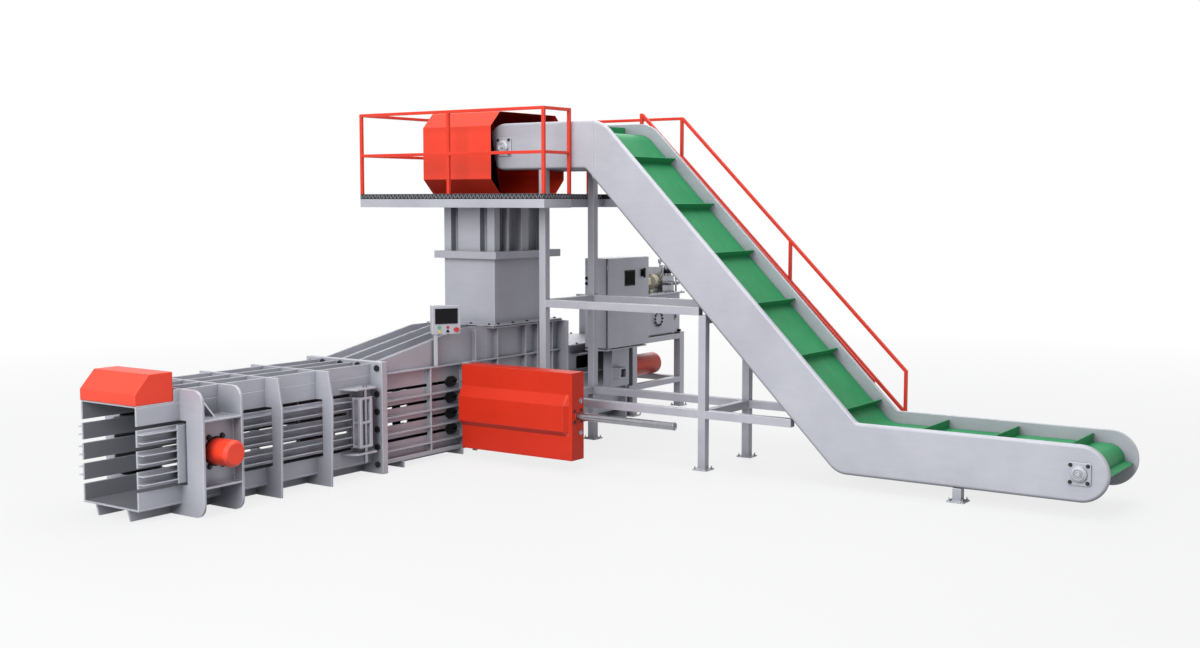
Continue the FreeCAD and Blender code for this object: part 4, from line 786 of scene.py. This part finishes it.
# %% Plugs, gland and rod nut
ROD = (5040.0, 680.0)
ROD_END = -3860.0
PLUG_HEIGHTS = (470.0, 868.0)
PLUG = [(0.0, 0.0), (0.034, 0.0), (0.034, 0.007), (0.030, 0.011), (0.018, 0.011), (0.014, 0.004),
        (0.006, 0.004), (0.005, 0.010), (0.0, 0.010)]
GLAND = [(0.049, 0.0), (0.072, 0.0), (0.072, 0.006), (0.069, 0.009), (0.054, 0.009), (0.049, 0.005),
         (0.049, 0.0)]
NUT = [(0.0, -0.010), (0.047, -0.010), (0.0495, -0.007), (0.0495, 0.012), (0.046, 0.016), (0.036, 0.016),
       (0.033, 0.011), (0.014, 0.011), (0.012, 0.004), (0.0, 0.004)]
plugs = bmesh.new()
for height in PLUG_HEIGHTS:
    turned(plugs, PLUG, at(5095, COVER_END, height), NEAR_SIDE)
hand_over("cover_plugs", plugs, steel)
gland = bmesh.new()
centre = at(ROD[0], COVER_END, ROD[1])
turned(gland, GLAND, centre, NEAR_SIDE)
hand_over("rod_gland", gland, shaded_orange)
gland_screws = bmesh.new()
bolt_circle(gland_screws, centre, NEAR_SIDE, 4, radius=0.100, across=0.028, start=math.pi / 4)
hand_over("gland_screws", gland_screws, black)
nut = bmesh.new()
turned(nut, NUT, at(ROD[0], ROD_END, ROD[1]), NEAR_SIDE)
hand_over("rod_nut", nut, steel, "needle_carriage")

# %% [markdown]
# ## Operator panel
# The touch screen sits behind a moulded frame, and every button stands in a steel collar. The frame is a
# thin block with a window cut by an inset and a push inwards. The panel is turned towards the person who
# feeds the machine, so its own directions are worked out once and everything is laid along them.

# %% Screen frame
PANEL_TURN = math.radians(-32.3)
GLASS_THICK = 0.0052
FRAME_SIZE = (0.300, 0.196, 0.006)
FRAME_BORDER = 0.019
WINDOW_DEPTH = 0.004
across = Vector((math.cos(PANEL_TURN), math.sin(PANEL_TURN), 0.0))
outward = Vector((math.sin(PANEL_TURN), -math.cos(PANEL_TURN), 0.0))
screen_low, screen_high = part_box("operator_screen")
screen_front = (screen_low + screen_high) / 2 + outward * (GLASS_THICK / 2)
frame_part = bmesh.new()
saw(frame_part, FRAME_SIZE)
front = [f for f in frame_part.faces if f.normal.z > 0.5]
bmesh.ops.inset_region(frame_part, faces=front, thickness=FRAME_BORDER, use_even_offset=True)
bmesh.ops.translate(frame_part, vec=(0, 0, -WINDOW_DEPTH), verts=front[0].verts[:])
round_off(frame_part, edges_above(frame_part, FRAME_SIZE[2] / 3), 0.0012)
turn = Matrix((across, Vector(UP), outward)).transposed().to_4x4()
frame_middle = screen_front + outward * (FRAME_SIZE[2] / 2)
bmesh.ops.transform(frame_part, matrix=Matrix.Translation(frame_middle) @ turn, verts=frame_part.verts[:])
hand_over("screen_frame", frame_part, plastic)

# %% Button collars
COLLAR_WALL = 0.006
STOP_BORE = 0.024
collars = bmesh.new()
panel_face = screen_front - outward * GLASS_THICK
for button in ("green_button", "yellow_button", "red_button", "black_button", "emergency_stop"):
    low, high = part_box(button)
    middle = (low + high) / 2
    foot = middle - outward * (middle - panel_face).dot(outward)
    bore = (high.z - low.z) / 2 + 0.001 if button != "emergency_stop" else STOP_BORE
    outline = [(bore, 0.0), (bore + COLLAR_WALL, 0.0), (bore + COLLAR_WALL, 0.002), (bore + 0.004, 0.004),
               (bore, 0.004), (bore, 0.0)]
    turned(collars, outline, foot, outward, 24)
hand_over("button_collars", collars, steel)

# %% [markdown]
# ## Bolted rims under the hopper
# The hopper stands on the press with two flat rims screwed together. A thin black strip between them is a
# painted shadow of the gap. The bolts go along three sides of the rim at an even pitch, heads up, so that a
# fitter can reach them from the roof.

# %% Rim bolts and a painted shadow strip
RIM_TOP = 1667.0
RIM_PITCH = 320
RIM_BOLT = 0.032
SHADOW_STRIP_HEIGHTS = (1643, 1651)
rim_bolts = bmesh.new()
for across_rim in range(-480, 481, RIM_PITCH):
    hex_bolt(rim_bolts, at(5745, across_rim, RIM_TOP), UP, RIM_BOLT)
for side in (-548, 548):
    for along_rim in range(5860, 7200, RIM_PITCH):
        hex_bolt(rim_bolts, at(along_rim, side, RIM_TOP), UP, RIM_BOLT)
hand_over("rim_bolts", rim_bolts, black)
# Painted shadow: a thin black strip laid in the gap between the two rims.
shadow_strip = bmesh.new()
for low, high in (((5693, -604), (5701, 604)), ((7239, -604), (7247, 604)), ((5693, -604), (7247, -596)),
                  ((5693, 596), (7247, 604))):
    slab(shadow_strip, at(*low, SHADOW_STRIP_HEIGHTS[0]), at(*high, SHADOW_STRIP_HEIGHTS[1]), 0.002)
hand_over("rim_shadow_strip", shadow_strip, plastic)

# %% [markdown]
# ## Tread of the deck
# The walkway is black chequer plate: low lozenges rolled into the sheet, turned one way and then the other.
# The lozenges are coloured light grey as a painted highlight.
# One lozenge is a squashed disc with a smaller top. A row of them is laid once and copied across the
# sheet, because a pattern of thousands must stay light. The turned-down edge carries it too.

# %% One lozenge, a row and a field
def lozenge_row(count, pitch, size, lean):
    """A row of lozenges along X, leaning left and right in turn."""
    row = bmesh.new()
    for index in range(count):
        part = bmesh.new()
        bmesh.ops.create_cone(part, cap_ends=True, segments=8, radius1=1.0, radius2=0.62, depth=1.0,
                              matrix=Matrix.Translation((0, 0, 0.5)))
        bmesh.ops.scale(part, vec=size, verts=part.verts[:])
        turn = Matrix.Rotation(math.radians(lean if index % 2 else -lean), 4, "Z")
        bmesh.ops.transform(part, matrix=turn, verts=part.verts[:])
        add_part(row, part, (index * pitch, 0, 0))
    mesh_data = bpy.data.meshes.new("row")
    row.to_mesh(mesh_data)
    row.free()
    return mesh_data


def field(shape, corner, along, up, long, wide, pitch, size, lean, rows=None):
    """Cover a flat area with rows of lozenges: from a corner, so far along and so far across."""
    columns, rows = int(long / pitch), rows or int(wide / pitch)
    flat = Matrix((Vector(along), Vector(up).cross(Vector(along)), Vector(up))).transposed().to_4x4()
    row = lozenge_row(columns, pitch, size, lean)
    inset = (pitch + long - columns * pitch) / 2
    first = (wide - (rows - 1) * pitch) / 2
    for index in range(rows):
        placed = row.copy()
        start = Vector((inset, first + index * pitch, 0))
        placed.transform(Matrix.Translation(corner) @ flat @ Matrix.Translation(start))
        shape.from_mesh(placed)
        bpy.data.meshes.remove(placed)
    bpy.data.meshes.remove(row)


print("lozenges are laid row by row")

# %% Tread on the deck and its edge
# The pitch of the lozenges, their half length, half width and height, and their lean in degrees.
DECK_TREAD = (0.055, (0.020, 0.0065, 0.0025), 45.0)
EDGE_TREAD = (0.034, (0.036, 0.0055, 0.003), 62.0)
DECK = 3430.0
EDGE_FOOT = 3361
EDGE_HIGH = 0.069
tread = bmesh.new()
for x0, x1, y0, y1 in ((5330, 8460, -1190, 1440), (5330, 5880, -1725, -1190), (7400, 8460, -1860, -1190)):
    field(tread, at(x0, y0, DECK), (1, 0, 0), UP, (x1 - x0) / 1000, (y1 - y0) / 1000, *DECK_TREAD)
for x, y, along, up, long in ((5310, 1460, (0, -1, 0), (-1, 0, 0), 3.205),
                              (5310, -1745, (1, 0, 0), NEAR_SIDE, 0.590),
                              (5900, -1210, (1, 0, 0), NEAR_SIDE, 1.480),
                              (7380, -1880, (1, 0, 0), NEAR_SIDE, 1.100)):
    field(tread, at(x, y, EDGE_FOOT), along, up, long, EDGE_HIGH, *EDGE_TREAD, rows=1)
print(len(tread.faces), "faces of tread")
hand_over("deck_tread", tread, lozenge_highlight_paint)

# %% [markdown]
# ## Pump motor
# The cream motor on the tank is a cast barrel with cooling fins along it, a round fan cowl with ribs on the
# end that faces the hopper, and a bell that couples it to the pump. Barrel, cowl and bell are turned
# together. One fin is a thin bar, copied round the barrel, and the ribs of the cowl are made the same way.

# %% A finned motor
FINS = 28
RIBS = 20


def spokes(shape, count, size, middle, centre, axis):
    """Thin bars copied round an axis."""
    for index in range(count):
        bar = bmesh.new()
        saw(bar, size, middle)
        turn = Matrix.Rotation(math.tau * index / count, 4, "Z")
        bmesh.ops.transform(bar, matrix=turn, verts=bar.verts[:])
        add_part(shape, bar, centre, axis)


def motor(centre, radius, long, way, bell):
    """A motor along X: its middle, outer radius, length of barrel, the way its cowl looks, coupling bell."""
    shape = bmesh.new()
    axis = Vector((way, 0, 0))
    core = radius * 0.80
    half = long / 2
    turned(shape, [(0.0, -half - bell), (core * 0.85, -half - bell), (core * 0.95, -half - bell + 0.008),
                   (core * 0.95, -half), (core * 1.08, -half + 0.002), (core * 1.1, -half + 0.025),
                   (core, -half + 0.030), (core, half - 0.120), (radius * 0.96, half - 0.118),
                   (radius, half - 0.110), (radius, half - 0.035), (radius * 0.94, half - 0.014),
                   (radius * 0.80, half - 0.002), (radius * 0.45, half), (0.0, half)], centre, axis, 40)
    fin, rib = (radius * 0.20, 0.0045, long - 0.170), (radius * 0.62, 0.005, 0.012)
    spokes(shape, FINS, fin, (core + radius * 0.08, 0, -0.045), centre, axis)
    spokes(shape, RIBS, rib, (radius * 0.52, 0, half - 0.002), centre, axis)
    box_centre = centre + Vector((0.0, -radius * 0.95, 0.02))
    box_half = Vector((0.075, radius * 0.22, 0.055))
    slab(shape, box_centre - box_half, box_centre + box_half, 0.008, 3)
    return shape


print("a motor has", FINS, "fins and", RIBS, "ribs")

# %% The motor on its two feet
LID_TOP = 1876.0
pump = motor(at(9690, -330, 2046), radius=0.148, long=0.600, way=-1, bell=0.140)
for x in (9450.0, 9830.0):
    slab(pump, at(x, -450, LID_TOP), at(x + 80, -210, LID_TOP + 50), 0.006)
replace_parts(hand_over("pump_motor_body", pump, cream), "pump_motor")

# %% [markdown]
# ## Valves, pipes and gauge
# Between pump and cylinder stands a steel block with directional valves. Each valve ends in a black coil
# with a round nut. Bent steel pipes join the valves to the bell of the pump and to the tank. A pipe is a
# smooth curve with a round section. The pressure gauge is turned, with a sunken face.

# %% Coils, nuts and gauge
VALVES = 3
VALVE_PITCH = 110.0
COIL_HALF = Vector((0.030, 0.034, 0.032))
COIL_NUT = [(0.0, 0.0), (0.021, 0.0), (0.021, 0.026), (0.017, 0.031), (0.0, 0.031)]
PORT = [(0.0, 0.0), (0.030, 0.0), (0.030, 0.014), (0.024, 0.018), (0.024, 0.040), (0.019, 0.044),
        (0.0, 0.044)]
GAUGE = [(0.0, -0.014), (0.040, -0.014), (0.044, -0.010), (0.044, 0.012), (0.040, 0.016), (0.037, 0.010),
         (0.0, 0.010)]
coils = bmesh.new()
fittings = bmesh.new()
for index in range(VALVES):
    x = 10190.0 + VALVE_PITCH * index
    for side, way in ((-450.0, -1), (-210.0, 1)):
        middle = at(x, side + way * 34, 2206)
        slab(coils, middle - COIL_HALF, middle + COIL_HALF, 0.006, 3)
        turned(coils, COIL_NUT, middle + Vector((0, way * 0.034, 0)), (0, way, 0), 20)
    turned(fittings, PORT, at(x, -590, 2016), NEAR_SIDE, 24)
hand_over("valve_coils", coils, plastic)
turned(fittings, disc(0.012, 0, 0.050, 0.002), at(10300, -330, 2276), UP, 16)
turned(fittings, GAUGE, at(10300, -330, 2366), NEAR_SIDE)
hand_over("valve_fittings", fittings, steel)

# %% Bent pipes
def pipe(name, points, radius):
    """A bent steel pipe through places on the drawing."""
    line = bpy.data.curves.new(name, "CURVE")
    line.dimensions = "3D"
    line.bevel_depth = radius
    line.bevel_resolution = 4
    line.resolution_u = 10
    line.use_fill_caps = True
    run = line.splines.new("NURBS")
    run.points.add(len(points) - 1)
    for knot, place in zip(run.points, points):
        knot.co = (*at(*place), 1.0)
    run.order_u = 3
    run.use_endpoint_u = True
    piece = bpy.data.objects.new(name, line)
    bpy.context.scene.collection.objects.link(piece)
    line.materials.append(steel.material)
    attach(piece, "frame")
    print(name, "through", len(points), "places")


pipe("pipe_pressure", [(10080, -440, 2046), (10080, -520, 2046), (10080, -520, 2300), (10190, -520, 2300),
                       (10190, -400, 2300), (10190, -400, 2240)], 0.014)
pipe("pipe_return", [(10410, -400, 2240), (10410, -400, 2330), (10410, -500, 2330), (10520, -500, 2330),
                     (10520, -500, 1900), (10520, -500, 1870)], 0.016)

# %% [markdown]
# ## Oil tank
# A round manhole plate is bolted to the side of the tank with a ring of twelve black bolts, the lid is
# screwed down along its edge, and a sight glass in a steel frame shows the oil. A filler cap with a breather
# stands on the lid.

# %% Manhole and lid screws
tank_bolts = bmesh.new()
bolt_circle(tank_bolts, at(9856, -590, 1470), NEAR_SIDE, 12, radius=0.106, across=0.030)
for x in range(9080, 10560, 240):
    hex_bolt(tank_bolts, at(x, -605, LID_TOP), UP, 0.020)
hand_over("tank_bolts", tank_bolts, black)

# %% Filler, drain and sight glass
FILLER = [(0.0, 0.0), (0.055, 0.0), (0.055, 0.030), (0.060, 0.034), (0.060, 0.075), (0.052, 0.090),
          (0.0, 0.094)]
tank_fittings = bmesh.new()
turned(tank_fittings, FILLER, at(9180, -330, LID_TOP), UP)
slab(tank_fittings, at(10360, -584, 1420), at(10410, -570, 1680))
turned(tank_fittings, disc(0.022, 0, 0.036, 0.004), at(9120, -570, 1260), NEAR_SIDE, 20)
hand_over("tank_fittings", tank_fittings, steel)
sight_glass = bmesh.new()
slab(sight_glass, at(10373, -588, 1445), at(10397, -583, 1655), 0.002)
slab(sight_glass, at(10455, -612, 1222), at(10505, -570, 1262), 0.006)
hand_over("sight_glass", sight_glass, glass, "frame")

# %% [markdown]
# ## Electric cabinet
# The door carries a small display behind a black frame and the main isolator: a black backing plate and a
# grip across the knob. Hinges, a dark grey seal along two sides of the opening, whose grey is also painted
# shade of the recessed gap, and cable glands on the blind side finish it. What is on the door rides with
# the door, and the grip turns with its knob.

# %% On the door
DOOR = -1080.3
for name, low, high, soft, steps, finish, body in (
        ("door_display", (8150, 9, 2092), (8422, 0, 2322), 0.004, 2, plastic, "cabinet_door"),
        ("door_pane", (8172, 11, 2114), (8400, 7, 2300), 0.0015, 2, glass, "cabinet_door"),
        ("isolator_plate", (8575, 4, 2212), (8671, 0, 2324), 0.0018, 2, plastic, "cabinet_door"),
        ("isolator_grip", (8607, 54, 2196), (8639, 26, 2342), 0.008, 3, plastic, "isolator_knob")):
    shape = bmesh.new()
    slab(shape, at(low[0], DOOR - low[1], low[2]), at(high[0], DOOR - high[1], high[2]), soft, steps)
    hand_over(name, shape, finish, body)

# %% Hinges, seal and glands
CABLE_GLAND = [(0.0, 0.0), (0.026, 0.0), (0.026, 0.012), (0.021, 0.016), (0.021, 0.038), (0.014, 0.050),
               (0.0, 0.050)]
hinges = bmesh.new()
for height in (1350, 1830, 2330):
    turned(hinges, disc(0.010, 0, 0.090, 0.002), at(7732, -1064, height), UP, 20)
hand_over("door_hinges", hinges, steel)
# The seal's dark grey is partly painted shade of the recessed gap beside the door.
seal = bmesh.new()
slab(seal, at(7735, -1058, 1206), at(7741, -1030, 2500), 0.001)
slab(seal, at(7735, -1058, 2499), at(8805, -1034, 2507), 0.001)
hand_over("door_seal", seal, seal_and_gap_shade)
glands = bmesh.new()
for height in (2140, 2215):
    turned(glands, CABLE_GLAND, at(7738, -705, height), (-1, 0, 0), 24)
hand_over("cable_glands", glands, plastic)

# %% [markdown]
# ## Rear chamber
# The ram is watched through a black pane between two shelves. The cover plate over the chamber is held by
# bolts along both long edges, and an open box of thick plate on the column takes the cable chain. The box
# is four plates welded round an opening, so it is built as a block, its front pushed in and hollowed out.

# %% Service pane and cover bolts
PANE_CORNER = 0.037
pane_low, pane_high = at(7791, -454, 866), at(8229, -446, 1054)
pane_size = pane_high - pane_low
panel = bmesh.new()
saw(panel, pane_size)
round_off(panel, edges_along(panel, 1, pane_size.y * 0.5), PANE_CORNER, 6)
pane = bmesh.new()
add_part(pane, panel, (pane_low + pane_high) / 2)
hand_over("service_pane", pane, glass)
cover_bolts = bmesh.new()
for x in range(7400, 8960, 250):
    for y in (-575, 435):
        hex_bolt(cover_bolts, at(x, y, 1255), UP, 0.030)
hand_over("cover_bolts", cover_bolts, black)

# %% Cable box
BOX_SIZE = (0.180, 0.140, 0.164)
BOX_WALL = 0.020
cable_box = bmesh.new()
saw(cable_box, BOX_SIZE, (at(8214, -820, 703) + at(8394, -960, 867)) / 2)
mouth = [f for f in cable_box.faces if f.normal.y < -0.5]
bmesh.ops.inset_region(cable_box, faces=mouth, thickness=BOX_WALL, use_even_offset=True)
hollow = bmesh.ops.extrude_discrete_faces(cable_box, faces=mouth)["faces"]
bmesh.ops.translate(cable_box, vec=(0, BOX_SIZE[1] - BOX_WALL, 0), verts=hollow[0].verts[:])
bmesh.ops.recalc_face_normals(cable_box, faces=cable_box.faces[:])
hand_over("cable_box", cable_box, grey)

# %% [markdown]
# ## Feet
# The posts end in plates that are anchored to the floor with studs, each with a nut and a washer, one near
# every corner of a plate. The same nut serves for the conveyor, the platform and the stand of the power
# unit. At the stand's two feet beside the press the inner pair of studs misses its plate by 15 mm.

# %% Anchors
FOOT_TOP = 15.0
ANCHOR_NUT = 0.024
STUD = disc(0.007, 0.0, 0.034, 0.001)
POSTS = [(x, y) for x in (5960, 7080) for y in (-1260, -3722, -7013)]
STAND_LEGS = [(x, y) for x in (9200, 10560) for y in (-540, 540)]
anchors = bmesh.new()
for feet, reach in ((POSTS, 76.0), (STAND_LEGS, 82.0)):
    for x, y in feet:
        for dx in (-reach, reach):
            for dy in (-reach, reach):
                spot = at(x + dx, y + dy, FOOT_TOP)
                hex_bolt(anchors, spot, UP, ANCHOR_NUT)
                turned(anchors, STUD, spot, UP, 12)
hand_over("floor_anchors", anchors, steel)
